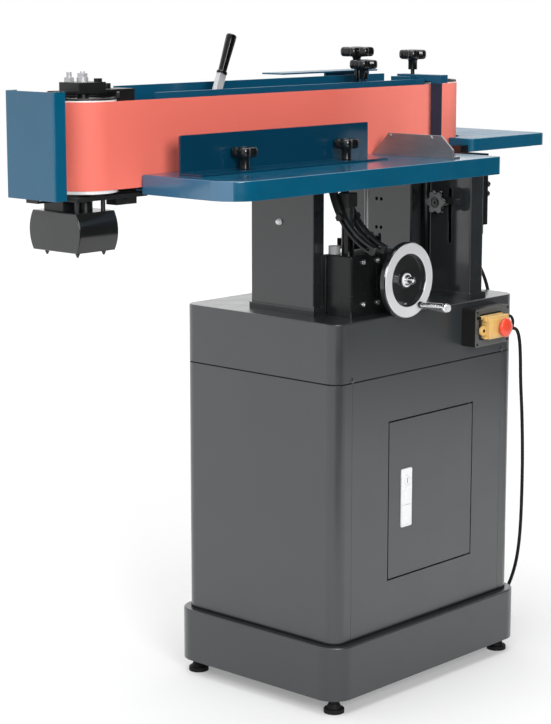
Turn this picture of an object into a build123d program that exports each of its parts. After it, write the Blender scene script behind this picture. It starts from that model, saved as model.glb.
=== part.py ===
from build123d import *
import math
import os

os.makedirs("parts", exist_ok=True)

# Oscillating edge sander on a cabinet stand. Millimetres, +Z up, +X along the belt to the right,
# -Y towards the operator. The origin is on the floor under the middle of the machine.

# Clearances
running = 0.05  # radial clearance of a shaft in its hole
slip = 0.3  # gap between pieces that pass each other
sheet = 2.0  # folded sheet steel

# Abrasive belt: a standard loop, whose width is the scale of the whole machine
belt_length = 2260.0
belt_width = 150.0
belt_t = 1.0
belt_front = -30.0  # grit side of the front run
belt_bottom = 1029.0
drum_d = 115.4
drum_wall = 8.0
drum_over = 6.0  # drum past each edge of the belt
web_t = 16.0  # end discs of the drums
web_inset = 8.0
drive_x = 411.0
stroke = 5.0  # oscillation of the belt, upwards from rest
axle_r = 10.0
bearing_r = 22.0
bearing_t = 12.0
shaft_r = 12.0

drum_r = drum_d / 2
belt_in = drum_r + slip
belt_out = belt_in + belt_t
belt_y = belt_front + belt_out  # middle of the belt's loop
belt_top = belt_bottom + belt_width
centre_distance = (belt_length - math.pi * (belt_in + belt_out)) / 2
idle_x = drive_x - centre_distance
drum_low = belt_bottom - drum_over
drum_high = belt_top + drum_over
drum_edge = drive_x - belt_out  # left side of the belt at the drive drum
belt_back = belt_y + belt_out

# Cabinet stand
cabinet_x = 191.0
cabinet_y = 40.0
cabinet_w = 556.0
cabinet_d = 400.0
cabinet_r = 26.0
cabinet_top = 756.0
seam_z = 640.0
top_t = 4.0
skirt_out = 16.5  # skirt past the cabinet on each side
skirt_r = 45.0
skirt_low = 30.0
skirt_high = 136.0
skirt_t = 2.5
skirt_flange = 62.0  # folded-in bottom edge that carries the feet
skirt_edge_r = 3.5
foot_r = 20.0
foot_inset = 34.0
foot_stud_r = 6.0
panel_margin = 44.5
panel_gap = 0.6
door_x = 199.0
door_w = 260.6
door_h = 310.6
door_low = 237.2
door_gap = 3.0
seam_h = 2.6  # shadow line under the top box
seam_depth = 2.0
door_lip = 12.0
hinge_inset = 4.5
hinge_pin_r = 2.0
knuckle_r = 3.5
latch_x = 120.5
latch_w = 32.0
latch_low = 334.0
latch_high = 450.0
latch_t = 2.5
paddle_w = 27.0
paddle_h = 39.0
paddle_pin_r = 0.8

left = cabinet_x - cabinet_w / 2
right = cabinet_x + cabinet_w / 2
front = cabinet_y - cabinet_d / 2
back = cabinet_y + cabinet_d / 2
skirt_w = cabinet_w + 2 * skirt_out
skirt_d = cabinet_d + 2 * skirt_out
panel_left = left + panel_margin
panel_right = right - panel_margin
door_left = door_x - door_w / 2
door_right = door_x + door_w / 2
door_high = door_low + door_h
hinge_x = door_right - hinge_inset
hinge_y = front + hinge_inset
paddle_low = latch_low + 4
paddle_high = paddle_low + paddle_h

# Switch
box_left = 290.5
box_right = 401.5
box_low = 669.0
box_top = 744.5
box_depth = 34.5
box_wall = 2.5
cover_left = 299.0
cover_right = 371.0
cover_low = 686.0
cover_high = 732.0
cover_depth = 24.0
cover_wall = 2.0
cover_hinge_r = 4.0
stop_x = 347.0
stop_z = 707.0
stop_r = 19.0
start_x = 319.0
start_z = 707.0
start_r = 9.0
box_front = front - box_depth
cover_back = box_front - 0.5
cover_front = cover_back - cover_depth
cover_axis_y = cover_back - cover_hinge_r
cover_axis_z = cover_high - cover_hinge_r

# Columns
column_top = 1012.0
column_w = 162.0
column_t = 31.0
column_wall = 4.0
column_base = 12.0
column_over = 5.0
left_column_x = -15.5
mid_column_x = 277.0
end_column_x = 357.0
end_column_y = -91.5
end_column_t = 40.0
end_column_w = 105.0
end_column_top = 1008.0
end_slot_y = -89.5
end_knob_z = 950.0
end_drop = 80.0
end_rise = 20.0
hole_y = (25.5, 37.5)  # paired holes in the middle column
hole_z = (894.0, 951.5)
hole_r = 3.6

# Table, its tilt and its lift
table_left = -456.5
table_right = 281.5
table_front = -256.5
table_gap = 3.0  # between the table and the belt
table_top = 1051.0
table_t = 34.0
table_skin = 10.0
table_rim = 12.0
table_corner_r = 60.0
table_edge_r = 2.0
tilt_y = -214.0
tilt_z = 1034.0
trunnion_r = 166.0
trunnion_in = 150.0
trunnion_t = 8.0
trunnion_slot_r = 158.5
trunnion_end = -71.5  # angle of the free end, short of the wheel
tilt_range = 30.0
post_x = 30.0
post_y = -84.5
post_r = 12.0
post_top = 926.0
clamp_r = 3.0
lift_travel = 80.0
screw_x = 102.5
screw_y = -71.0
screw_r = 5.0
wheel_z = 822.0
wheel_out = 6.5  # middle of the wheel's rim, in front of the cabinet
wheel_r = 73.0
wheel_in = 50.0
wheel_shaft_r = 8.0
wheel_bore = 8.02
bevel_far = 16.0
bevel_near = 8.0
bevel_gap = 0.6
crank_r = 57.0
crank_angle = -60.0
crank_pin_r = 4.0
housing_left = -3.0
housing_right = 150.0
housing_front = -121.5
housing_back = -58.0
housing_bulge = -46.0  # behind the bevel chamber
housing_top = 872.0
table_bottom = table_top - table_t
table_back = belt_front - table_gap
cheek_half = post_r + 0.5
wheel_y = front - wheel_out
nut_top = 906.0
clamp_z = tilt_z - math.sqrt(trunnion_slot_r**2 - (post_y - tilt_y) ** 2)
clamp_angle = math.degrees(math.atan2(clamp_z - tilt_z, post_y - tilt_y))
crank_x = screw_x + crank_r * math.cos(math.radians(crank_angle))
crank_z = wheel_z + crank_r * math.sin(math.radians(crank_angle))

# Fence and work stop
fence_left = -420.0
fence_right = 80.0
fence_y = -90.0
fence_h = 68.0
fence_t = 4.0
fence_foot = 52.0
fence_foot_t = 3.0
fence_travel = 20.0  # towards the belt
fence_knob_y = -112.0
fence_knob_d = 42.0
fence_knob_a = -282.4
fence_knob_b = -7.7
stop_plate_x = 159.5
stop_plate_t = 3.5

# Platen frame
frame_low = 1012.0
frame_plate = 6.0
frame_floor = 8.0
pad_t = 3.0
motor_plate_r = 62.0
frame_front = belt_front + 1.3 + pad_t
frame_back = belt_y + belt_out - 3
frame_right = drum_edge - 20
frame_front_top = belt_top + 11
frame_back_top = belt_top + 19
shelf_z = belt_top - 49
floor_top = frame_low + frame_floor
shelf_top = shelf_z + frame_plate

# Tension and tracking gear
rod_r = 7.0
guide_left = -345.0
guide_right = -325.0
lever_x = -216.0
lever_lean = 21.5
lever_t = 10.0
lever_pin_r = 5.0
slide_travel = 8.0
bracket_low = 1012.0
bracket_floor = 7.0
arm_t = 5.0
spring_r = 12.5
spring_wire = 4.0
spring_turns = 8
track_x = 205.0
lock_x = 185.0
guard_travel = 20.0
rod_z = belt_top - 21
lever_z = rod_z + 2
bracket_left = idle_x - belt_out - 2.8
bracket_post = idle_x + belt_out + 4.2
bracket_right = bracket_post + 40
frame_left = bracket_right + 20
arm_low = drum_high + stroke + 2
block_top = arm_low + 18.5
track_y = belt_y + 16
lock_y = belt_y - 19
guard_x = drum_edge - 17
guard_knob_x = drum_edge - 7
guard_knob_y = belt_y - 13
guard_z = belt_top + 15
guard_front = belt_front - 33.5

# Oscillation gearbox under the idle drum
gear_r = 65.0
gear_half = 34.0
gear_z = 960.0
gear_left = idle_x - 70.3
gear_right = idle_x + 17.7
gear_wall = 3.0
cam_z = 952.0
cam_r = 16.0
cam_throw = stroke / 2
cam_shaft_r = 6.0
axle_low = cam_z + cam_r + cam_throw + 0.5

# Motor, rear cover, end table
motor_r = 58.0
motor_low = 790.0
fin_out = 4.0
cover_x = (44.0, 330.0)
cover_y = (belt_back + 4, belt_back + 62)
cover_z = (belt_bottom - 13, belt_top + 10)
flap_z = (belt_top + 24, belt_top + 27)  # thin lid over the cover
port_x = 245.0
port_z = 1105.0
port_r = 50.0
port_t = 2.5
port_length = 50.0
end_left = 399.5
end_right = 655.5
end_half = belt_out + 67
end_low = 1045.0
end_top = 1070.0
end_cut_r = belt_out + 7
end_corner_r = 20.0
arm_end = 620.0
arm_let = 12.0  # arm's bar let into the end table
arm_bar_y = (-84.0, -62.5)
arm_left = end_column_x + end_column_t / 2
side_x = idle_x - belt_out - 61.283  # outer face of the left end cover
side_return = 25.5

# Cords
mains_d = 7.0
lead_d = 6.0
coil_x = 590.0
coil_y = 60.0
coil_turns = 4.5
coil_pitch = 1.1 * mains_d
coil_layer = 1.1 * mains_d
coil_min_r = 29.8
coil_tail = 36.0  # straight length from the coil to the plug
coil_lift = 1.4  # thickness of the tie under the coil
coil_z = coil_lift + mains_d / 2
coil_out = coil_min_r + coil_pitch * coil_turns / 2


def save(piece, name):
    piece.part.label = name
    export_step(piece.part, "parts/" + name + ".step")


def slab(x, y, z, mode=Mode.ADD):
    with Locations(((x[0] + x[1]) / 2, (y[0] + y[1]) / 2, (z[0] + z[1]) / 2)):
        Box(x[1] - x[0], y[1] - y[0], z[1] - z[0], mode=mode)


def upright(x, y, z, r, mode=Mode.ADD):
    with Locations((x, y, (z[0] + z[1]) / 2)):
        Cylinder(r, z[1] - z[0], mode=mode)


def along_x(x, y, z, r, mode=Mode.ADD):
    with Locations(Location(((x[0] + x[1]) / 2, y, z), (0, 90, 0))):
        Cylinder(r, x[1] - x[0], mode=mode)


def along_y(x, y, z, r, mode=Mode.ADD):
    with Locations(Location((x, (y[0] + y[1]) / 2, z), (90, 0, 0))):
        Cylinder(r, y[1] - y[0], mode=mode)


def hex_up(x, y, z, r):
    with BuildSketch(Plane.XY.offset(z[0])) as outline:
        with Locations((x, y)):
            RegularPolygon(r, 6)
    extrude(outline.sketch, amount=z[1] - z[0])


def hex_x(x, y, z, r):
    with BuildSketch(Plane.YZ.offset(x[0])) as outline:
        with Locations((y, z)):
            RegularPolygon(r, 6)
    extrude(outline.sketch, amount=x[1] - x[0])


def round_on(plane, r, length):
    with BuildSketch(plane) as outline:
        Circle(r)
    extrude(outline.sketch, amount=length)


def tube_wall(w, d, r, z, t):
    # A box wall of rounded plan, round the middle of the cabinet
    with BuildSketch(Plane.XY.offset(z[0])) as outline:
        with Locations((cabinet_x, cabinet_y)):
            RectangleRounded(w, d, r)
            RectangleRounded(w - 2 * t, d - 2 * t, r - t, mode=Mode.SUBTRACT)
    extrude(outline.sketch, amount=z[1] - z[0])


def star_knob(plane, head_d, head_h, stem_r, stem_h, stud_r, stud_up, stud_down, lobes):
    # Stud from below the plane to the stem, then a lobed head with a cap
    lobe_r = min(0.17, 0.7 / lobes) * head_d
    round_on(plane.offset(-stud_down), stud_r, stud_down + stud_up)
    round_on(plane.offset(stud_up), stem_r, stem_h)
    with BuildSketch(plane.offset(stud_up + stem_h)) as outline:
        Circle(0.38 * head_d)
        with PolarLocations(head_d / 2 - lobe_r, lobes):
            Circle(lobe_r)
    extrude(outline.sketch, amount=head_h)
    rim = edges(Select.LAST).group_by(Axis(plane.origin, plane.z_dir))[-1]
    chamfer(rim, 0.035 * head_d)
    round_on(plane.offset(stud_up + stem_h + head_h), 0.26 * head_d, 0.05 * head_d)


def column(x, y, t, w, top, slot=None):
    # A hollow column on a base plate, with a closed top
    with BuildPart() as made:
        slab((x - t / 2, x + t / 2), (y - w / 2, y + w / 2), (cabinet_top, top))
        fillet(made.edges().filter_by(Axis.Z), 3.0)
        base = (cabinet_top, cabinet_top + column_base)
        base_x = (x - t / 2 - column_over, x + t / 2 + column_over)
        slab(base_x, (y - w / 2 - column_over, y + w / 2), base)
        inner_x = (x - t / 2 + column_wall, x + t / 2 - column_wall)
        inner_y = (y - w / 2 + column_wall, y + w / 2 - column_wall)
        slab(inner_x, inner_y, (cabinet_top + column_base, top - 10), Mode.SUBTRACT)
        if slot:
            with BuildSketch(Plane.YZ.offset(x - t)):
                with Locations((slot[0], (slot[1] + slot[2]) / 2)):
                    SlotOverall(slot[2] - slot[1], slot[3], rotation=90)
            extrude(amount=2 * t, mode=Mode.SUBTRACT)
    return made


def biarc(p, t, q, s):
    # Two arcs from p along t to q along s, as three-point arcs
    v = q - p
    a = 2 * (t.dot(s) - 1)
    b = -2 * v.dot(t + s)
    c = v.dot(v)
    if abs(a) < 1e-9:
        d = -c / b
    else:
        d = (-b - math.sqrt(b * b - 4 * a * c)) / (2 * a)
    ends = (p + t * d, q - s * d)
    joint = (ends[0] + ends[1]) / 2
    arcs = []
    for start, corner, end in ((p, ends[0], joint), (joint, ends[1], q)):
        one = (corner - start).normalized()
        two = (end - corner).normalized()
        w = math.cos(math.acos(max(-1.0, min(1.0, one.dot(two)))) / 2)
        arcs.append((start, (start + corner * (2 * w) + end) / (2 + 2 * w), end))
    return arcs


def wind(points, tangents, tail, end_tail):
    # A wound path: straight for a tail at each end, with two arcs between stations
    first = points[0] - tangents[0] * tail
    last = points[-1] + tangents[-1] * end_tail
    Line(first, points[0])
    for k in range(len(points) - 1):
        for arc in biarc(points[k], tangents[k], points[k + 1], tangents[k + 1]):
            ThreePointArc(*arc)
    Line(points[-1], last)


def self_gap(wire, turn_length, thickness):
    # Least gap of a wound tube to itself, on points along its path
    count = 900
    length = wire.length
    spots = [wire @ (k / count) for k in range(count + 1)]
    apart = int(turn_length * 0.4 / length * count) + 1
    least = 1e9
    for m in range(count + 1):
        for n in range(m + apart, count + 1):
            least = min(least, (spots[m] - spots[n]).length)
    return least - thickness


def bend_radii(points):
    # A radius for each corner of a cord's route, from its turn and its share of the runs beside it
    radii = []
    last = len(points) - 2
    for k in range(1, last + 1):
        one = Vector(*points[k]) - Vector(*points[k - 1])
        two = Vector(*points[k + 1]) - Vector(*points[k])
        turn = math.radians(one.get_angle(two))
        before = one.length * (0.9 if k == 1 else 0.45)
        after = two.length * (0.9 if k == last else 0.45)
        radii.append(min(before, after) / math.tan(turn / 2))
    return radii


def cord(points, d, name):
    radii = bend_radii(points)
    with BuildPart() as made:
        with BuildLine() as path:
            FilletPolyline(*points, radius=radii)
        wire = path.wires()[0]
        with BuildSketch(Plane(origin=wire @ 0, z_dir=wire % 0)):
            Circle(d / 2)
        sweep(path=wire)
    full = math.pi * d * d / 4 * wire.length
    print(name, "length", round(wire.length, 1), "least radius", round(min(radii), 1))
    print(name, "volume over section times length", round(made.part.volume / full, 4))
    save(made, name)


# Base skirt: a deep rounded tray upside down, its bottom edge folded in to carry the feet
with BuildPart() as base_skirt:
    with BuildSketch(Plane.XY.offset(skirt_low)):
        with Locations((cabinet_x, cabinet_y)):
            RectangleRounded(skirt_w, skirt_d, skirt_r)
    extrude(amount=skirt_high - skirt_low)
    fillet(base_skirt.edges().group_by(Axis.Z)[-1], skirt_edge_r)
    with BuildSketch(Plane.XY.offset(skirt_low + skirt_t)):
        with Locations((cabinet_x, cabinet_y)):
            RectangleRounded(skirt_w - 2 * skirt_t, skirt_d - 2 * skirt_t, skirt_r - skirt_t)
    extrude(amount=skirt_high - skirt_low - 2 * skirt_t - 1, mode=Mode.SUBTRACT)
    with BuildSketch(Plane.XY.offset(skirt_low)):
        with Locations((cabinet_x, cabinet_y)):
            RectangleRounded(skirt_w - 2 * skirt_flange, skirt_d - 2 * skirt_flange, 20)
    extrude(amount=2 * skirt_t, mode=Mode.SUBTRACT)
    with Locations((cabinet_x, cabinet_y, skirt_low)):
        with GridLocations(skirt_w - 2 * foot_inset, skirt_d - 2 * foot_inset, 2, 2):
            Cylinder(foot_stud_r + slip, 4 * skirt_t, mode=Mode.SUBTRACT)
save(base_skirt, "base_skirt")

with BuildPart() as leveling_feet:
    with Locations((cabinet_x, cabinet_y, 0)):
        with GridLocations(skirt_w - 2 * foot_inset, skirt_d - 2 * foot_inset, 2, 2):
            Cylinder(foot_r, 9, align=(Align.CENTER, Align.CENTER, Align.MIN))
    fillet(leveling_feet.edges().group_by(Axis.Z)[-1], 2.5)
    with Locations((cabinet_x, cabinet_y, 0)):
        with GridLocations(skirt_w - 2 * foot_inset, skirt_d - 2 * foot_inset, 2, 2):
            with Locations((0, 0, 9)):
                Cone(15, 11, 9, align=(Align.CENTER, Align.CENTER, Align.MIN))
            with Locations((0, 0, 18)):
                Cylinder(10, skirt_low - 18, align=(Align.CENTER, Align.CENTER, Align.MIN))
            with Locations((0, 0, skirt_low)):
                Cylinder(foot_stud_r, 28, align=(Align.CENTER, Align.CENTER, Align.MIN))
            with Locations((0, 0, skirt_low + skirt_t)):
                Cylinder(10, 8, align=(Align.CENTER, Align.CENTER, Align.MIN))
save(leveling_feet, "leveling_feet")

# Cabinet: a wrapped shell with its front panel let in between two returns
with BuildPart() as cabinet_shell:
    tube_wall(cabinet_w, cabinet_d, cabinet_r, (skirt_high, seam_z), sheet)
    slab((panel_left, panel_right), (front - 1, front + 20), (skirt_high - 1, seam_z + 1), Mode.SUBTRACT)
    for edge, way in ((panel_left, 1), (panel_right, -1)):
        inner = sorted((edge - way * 12, edge + way * 12))
        slab(inner, (front + sheet, front + 2 * sheet), (skirt_high, seam_z))
save(cabinet_shell, "cabinet_shell")

with BuildPart() as front_panel:
    slab((panel_left + panel_gap, panel_right - panel_gap), (front, front + sheet), (skirt_high, seam_z))
    opening_x = (door_left - door_gap, door_right + door_gap)
    opening_z = (door_low - door_gap, door_high + door_gap)
    slab(opening_x, (front - 1, front + 5), opening_z, Mode.SUBTRACT)
    lug_x = (hinge_x - 6, hinge_x + 14)
    for lug_z in ((opening_z[1], opening_z[1] + 12), (opening_z[0] - 12, opening_z[0])):
        slab(lug_x, (front + sheet, front + 11), lug_z)
    pin_z = (opening_z[0] - 20, opening_z[1] + 20)
    upright(hinge_x, hinge_y, pin_z, hinge_pin_r + running, Mode.SUBTRACT)
    stop_bar = (door_left - door_gap - 8, door_left + 4)
    stop_height = (door_low + 60, door_high - 60)
    slab(stop_bar, (front + door_lip + sheet + 1, front + door_lip + 3 * sheet), stop_height)
    post = (door_left - door_gap - 8, door_left - door_gap - 4)
    slab(post, (front + sheet, front + door_lip + 3 * sheet), stop_height)
save(front_panel, "front_panel")

with BuildPart() as cabinet_door:
    slab((door_left, door_right), (front, front + sheet), (door_low, door_high))
    for lip_z in ((door_low, door_low + sheet), (door_high - sheet, door_high)):
        slab((door_left, door_right - 16), (front, front + door_lip), lip_z)
    slab((door_left, door_left + sheet), (front, front + door_lip), (door_low, door_high))
    upright(hinge_x, hinge_y, (door_low, door_high), knuckle_r)
    upright(hinge_x, hinge_y, (door_low - door_gap - 9, door_high + door_gap + 9), hinge_pin_r)
    window_x = (latch_x - paddle_w / 2 - slip, latch_x + paddle_w / 2 + slip)
    slab(window_x, (front - 1, front + 5), (paddle_low + 2, paddle_high + 3), Mode.SUBTRACT)
save(cabinet_door, "cabinet_door")

with BuildPart() as latch_plate:
    latch = (latch_x - latch_w / 2, latch_x + latch_w / 2)
    slab(latch, (front - latch_t, front), (latch_low, latch_high))
    fillet(latch_plate.edges().filter_by(Axis.Y), 3.0)
    pocket_x = (latch_x - paddle_w / 2 - slip, latch_x + paddle_w / 2 + slip)
    pocket_z = (paddle_low - slip, paddle_high + 2 * slip)
    slab(pocket_x, (front - 5, front + 1), pocket_z, Mode.SUBTRACT)
    along_y(latch_x, (front - latch_t - 1.2, front - latch_t), latch_high - 24, 9)
    pin_y = front - latch_t / 2
    pin_z = paddle_high - 1.1
    pin_x = (latch_x - paddle_w / 2 - 2, latch_x + paddle_w / 2 + 2)
    along_x(pin_x, pin_y, pin_z, paddle_pin_r + running, Mode.SUBTRACT)
save(latch_plate, "latch_plate")

with BuildPart() as latch_paddle:
    paddle_x = (latch_x - paddle_w / 2, latch_x + paddle_w / 2)
    slab(paddle_x, (front - latch_t + 0.1, front - 0.4), (paddle_low, paddle_high))
    along_x((paddle_x[0] - 1.6, paddle_x[1] + 1.6), pin_y, pin_z, paddle_pin_r)
save(latch_paddle, "latch_paddle")

# Top box: the head's mounting deck
with BuildPart() as top_box:
    with BuildSketch(Plane.XY.offset(seam_z)):
        with Locations((cabinet_x, cabinet_y)):
            RectangleRounded(cabinet_w, cabinet_d, cabinet_r)
    extrude(amount=cabinet_top - seam_z)
    fillet(top_box.edges().group_by(Axis.Z)[-1], 2.5)
    with BuildSketch(Plane.XY.offset(seam_z)):
        with Locations((cabinet_x, cabinet_y)):
            RectangleRounded(cabinet_w, cabinet_d, cabinet_r)
            inset = 2 * seam_depth
            RectangleRounded(cabinet_w - inset, cabinet_d - inset, cabinet_r - seam_depth, mode=Mode.SUBTRACT)
    extrude(amount=seam_h, mode=Mode.SUBTRACT)
    with BuildSketch(Plane.XY.offset(seam_z)):
        with Locations((cabinet_x, cabinet_y)):
            RectangleRounded(cabinet_w - 4 * sheet, cabinet_d - 4 * sheet, cabinet_r - 2 * sheet)
    extrude(amount=cabinet_top - seam_z - top_t, mode=Mode.SUBTRACT)
save(top_box, "top_box")

# Switch box with its flap, stop and start buttons
with BuildPart() as switch_box:
    slab((box_left, box_right), (box_front, front), (box_low, box_top))
    fillet(switch_box.edges().filter_by(Axis.Y), 4.0)
    fillet(switch_box.edges().group_by(Axis.Y)[0], 1.5)
    inner_x = (box_left + box_wall, box_right - box_wall)
    slab(inner_x, (box_front + box_wall, front), (box_low + box_wall, box_top - box_wall), Mode.SUBTRACT)
    along_y(start_x, (box_front - 1, box_front + 5), start_z, start_r + running, Mode.SUBTRACT)
    for lug in ((cover_left - 4.3, cover_left - slip), (cover_right + slip, cover_right + 4.3)):
        slab(lug, (cover_axis_y - 3, box_front), (cover_axis_z - 3, cover_axis_z + 3))
    hole_x = (cover_left - 3.5, cover_right + 3.5)
    along_x(hole_x, cover_axis_y, cover_axis_z, 1.5 + running, Mode.SUBTRACT)
    for x in (box_left + 5.5, box_right - 5.5):
        for z in (box_low + 5.5, box_top - 5.5):
            along_y(x, (box_front - 1.5, box_front + 1), z, 2.5)
save(switch_box, "switch_box")

with BuildPart() as switch_cover:
    slab((cover_left, cover_right), (cover_front, cover_back), (cover_low, cover_high))
    hinge_edge = switch_cover.edges().filter_by(Axis.X).sort_by_distance((stop_x, cover_back, cover_high))[0]
    fillet(hinge_edge, cover_hinge_r)
    fillet(switch_cover.edges().group_by(Axis.Y)[0], 3.0)
    inner_x = (cover_left + cover_wall, cover_right - cover_wall)
    inner_z = (cover_low + cover_wall, cover_high - 2 * cover_hinge_r)
    slab(inner_x, (cover_front + cover_wall, cover_back + 1), inner_z, Mode.SUBTRACT)
    along_y(stop_x, (cover_front - 1, cover_front + 5), stop_z, 8 + running, Mode.SUBTRACT)
    along_x((cover_left - 3, cover_right + 3), cover_axis_y, cover_axis_z, 1.5)
save(switch_cover, "switch_cover")

with BuildPart() as stop_button:
    along_y(stop_x, (cover_front - 14, cover_front - 5.5), stop_z, stop_r)
    fillet(stop_button.edges().group_by(Axis.Y)[0], 4.0)
    along_y(stop_x, (cover_front - 5.5, cover_front + cover_wall + 2), stop_z, 8)
    along_y(stop_x, (cover_front + cover_wall + slip, cover_front + cover_wall + 2), stop_z, 10)
save(stop_button, "stop_button")

with BuildPart() as start_button:
    along_y(start_x, (box_front - 6, box_front + box_wall + 8), start_z, start_r)
    fillet(start_button.edges().group_by(Axis.Y)[0], 1.0)
    along_y(start_x, (box_front + box_wall + slip, box_front + box_wall + 3), start_z, start_r + 2.5)
save(start_button, "start_button")

# Cable entries: at the switch box, on the cabinet, and under the motor's terminal box
mains_y = front - 19.5
mains_z = 690.0
lead_y = mains_y + (mains_d + lead_d) / 2 + 0.5
lead_z = 716.0
grommet_x = 438.0
grommet_z = 680.0
motor_entry = (drive_x + 55, belt_y - 70)
motor_entry_z = 868.0
wall_entry = (-72.0, 660.0)
with BuildPart() as cable_glands:
    hex_x((box_right, box_right + 6), lead_y, lead_z, 8)
    hex_x((box_right, box_right + 6), mains_y, mains_z, 8)
    along_x((box_right + 6, box_right + 18), lead_y, lead_z, 5.5)
    with Locations(Location((box_right + 6, mains_y, mains_z), (0, 90, 0))):
        Cone(6.5, 4.6, 22, align=(Align.CENTER, Align.CENTER, Align.MIN))
    along_y(grommet_x, (front - 3, front), grommet_z, 6)
    hex_x((right, right + 6), wall_entry[0], wall_entry[1], 9)
    along_x((right + 6, right + 15), wall_entry[0], wall_entry[1], 6.5)
    upright(motor_entry[0], motor_entry[1], (motor_entry_z - 12, motor_entry_z), 6.5)
save(cable_glands, "cable_glands")

# Columns that carry the head, and the slotted column of the end table
left_column = column(left_column_x, belt_y, column_t, column_w, column_top)
save(left_column, "left_column")
mid_face = mid_column_x - column_t / 2
with BuildPart() as mid_column:
    add(column(mid_column_x, belt_y, column_t, column_w, column_top).part)
    wall_x = (mid_face - 1, mid_face + column_wall + 1)
    for y in hole_y:
        for z in hole_z:
            along_x(wall_x, y, z, hole_r, Mode.SUBTRACT)
    for z in (871.5, 875, 878.5):
        along_x(wall_x, hole_y[0] + 3.5, z, hole_r, Mode.SUBTRACT)
save(mid_column, "mid_column")
end_slot = (end_slot_y, end_knob_z - end_drop - 6, end_knob_z + end_rise + 6, 10.5)
right_column = column(end_column_x, end_column_y, end_column_t, end_column_w, end_column_top, end_slot)
save(right_column, "right_column")

with BuildPart() as column_bolts:
    left_face = left_column_x - column_t / 2
    along_x((left_face - 9, left_face), 31, 928.5, 5)
    for x in (31, 72.5):
        for z in (778, 859):
            along_y(x, (housing_front - 4, housing_front), z, 5)
    for x in (panel_left, panel_right):
        along_y(x, (front - 2, front), seam_z + 6, 5)
save(column_bolts, "column_bolts")

# Lift housing: a casting with the post's bore, the bevel chamber and the wheel's bearing
chamber_top = wheel_z + bevel_far + 7
with BuildPart() as lift_housing:
    slab((housing_left, housing_right), (housing_front, housing_back), (cabinet_top, housing_top))
    fillet(lift_housing.edges().filter_by(Axis.Z), 6.0)
    fillet(lift_housing.edges().group_by(Axis.Z)[-1], 3.0)
    slab((screw_x - 28, screw_x + 28), (housing_back - 2, housing_bulge), (cabinet_top, housing_top - 4))
    along_y(screw_x, (housing_front - 8, housing_front), wheel_z, 24)
    upright(housing_left + 11.5, housing_back - 12, (housing_top, housing_top + 16), 11.5)
    slab((27, 74), (housing_front - 1, housing_front + 3), (788, 851), Mode.SUBTRACT)
    upright(post_x, post_y, (770, housing_top + 1), post_r + running, Mode.SUBTRACT)
    slab((screw_x - 20, screw_x + 20), (-112, housing_bulge - 6), (790, chamber_top), Mode.SUBTRACT)
    upright(screw_x, screw_y, (chamber_top - 1, housing_top + 1), screw_r + running, Mode.SUBTRACT)
    along_y(screw_x, (housing_front - 10, -100), wheel_z, wheel_shaft_r + running, Mode.SUBTRACT)
save(lift_housing, "lift_housing")

# Lift: a round post with a nut arm, and the saddle that grips the trunnions
with BuildPart() as lift_post:
    upright(post_x, post_y, (778, post_top), post_r)
    slab((post_x, screw_x + 14), (-95, -58), (880, 900))
    upright(screw_x, screw_y, (878, nut_top), 13)
    upright(screw_x, screw_y, (870, nut_top + 4), screw_r + running, Mode.SUBTRACT)
save(lift_post, "lift_post")

with BuildPart() as lift_saddle:
    cheek_x = (post_x - cheek_half, post_x + cheek_half)
    upright(post_x, post_y, (post_top, clamp_z + 20), post_r)
    slab(cheek_x, (post_y - cheek_half, post_y + cheek_half), (clamp_z + 19, clamp_z + 46))
    fillet(lift_saddle.edges().group_by(Axis.Z)[-1], 2.0)
    bolt_x = (cheek_x[0] - trunnion_t - 2 * slip, cheek_x[1] + trunnion_t + 2 * slip)
    along_x(bolt_x, post_y, clamp_z, clamp_r)
    hex_x((bolt_x[0] - 7, bolt_x[0]), post_y, clamp_z, 7.5)
    hex_x((bolt_x[1], bolt_x[1] + 8), post_y, clamp_z, 7.5)
save(lift_saddle, "lift_saddle")

with BuildPart() as lead_screw:
    upright(screw_x, screw_y, (wheel_z + bevel_near, nut_top + lift_travel + 9), screw_r)
    with Locations((screw_x, screw_y, wheel_z + bevel_near)):
        ends = (bevel_near - bevel_gap, bevel_far - bevel_gap)
        Cone(ends[0], ends[1], bevel_far - bevel_near, align=(Align.CENTER, Align.CENTER, Align.MIN))
    upright(screw_x, screw_y, (wheel_z + bevel_far, chamber_top - 0.2), 9)
save(lead_screw, "lead_screw")

with BuildPart() as handwheel_shaft:
    along_y(screw_x, (wheel_y - 4, screw_y - bevel_far), wheel_z, wheel_shaft_r)
    with Locations(Location((screw_x, screw_y - bevel_far, wheel_z), (-90, 0, 0))):
        Cone(ends[1], ends[0], bevel_far - bevel_near, align=(Align.CENTER, Align.CENTER, Align.MIN))
    along_y(screw_x, (-111.5, -104), wheel_z, 12)
    along_y(screw_x, (wheel_y - 6, wheel_y - 3), wheel_z, 13)
    along_y(screw_x, (wheel_y - 20, wheel_y - 5), wheel_z, 7)
save(handwheel_shaft, "handwheel_shaft")

with BuildPart() as handwheel:
    with BuildSketch(Plane(origin=(screw_x, 0, wheel_z))):
        with BuildLine():
            Polyline(
                (wheel_bore, wheel_y + 20),
                (18, wheel_y + 20),
                (20, wheel_y + 7),
                (wheel_in - 2, wheel_y + 5),
                (wheel_in + 4, wheel_y + 4),
                (wheel_r - 4, wheel_y + 4),
                (wheel_r, wheel_y + 1),
                (wheel_r, wheel_y - 8),
                (wheel_r - 3, wheel_y - 11),
                (wheel_in + 2, wheel_y - 11),
                (wheel_in, wheel_y - 9),
                (wheel_in - 2, wheel_y - 2),
                (20, wheel_y),
                (16, wheel_y),
                (15, wheel_y - 3),
                (wheel_bore, wheel_y - 3),
                close=True,
            )
        make_face()
    revolve(axis=Axis((screw_x, 0, wheel_z), (0, 1, 0)))
    along_y(crank_x, (wheel_y - 80, wheel_y), crank_z, crank_pin_r)
    along_y(crank_x, (wheel_y - 84, wheel_y - 79), crank_z, 7)
save(handwheel, "handwheel")

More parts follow.
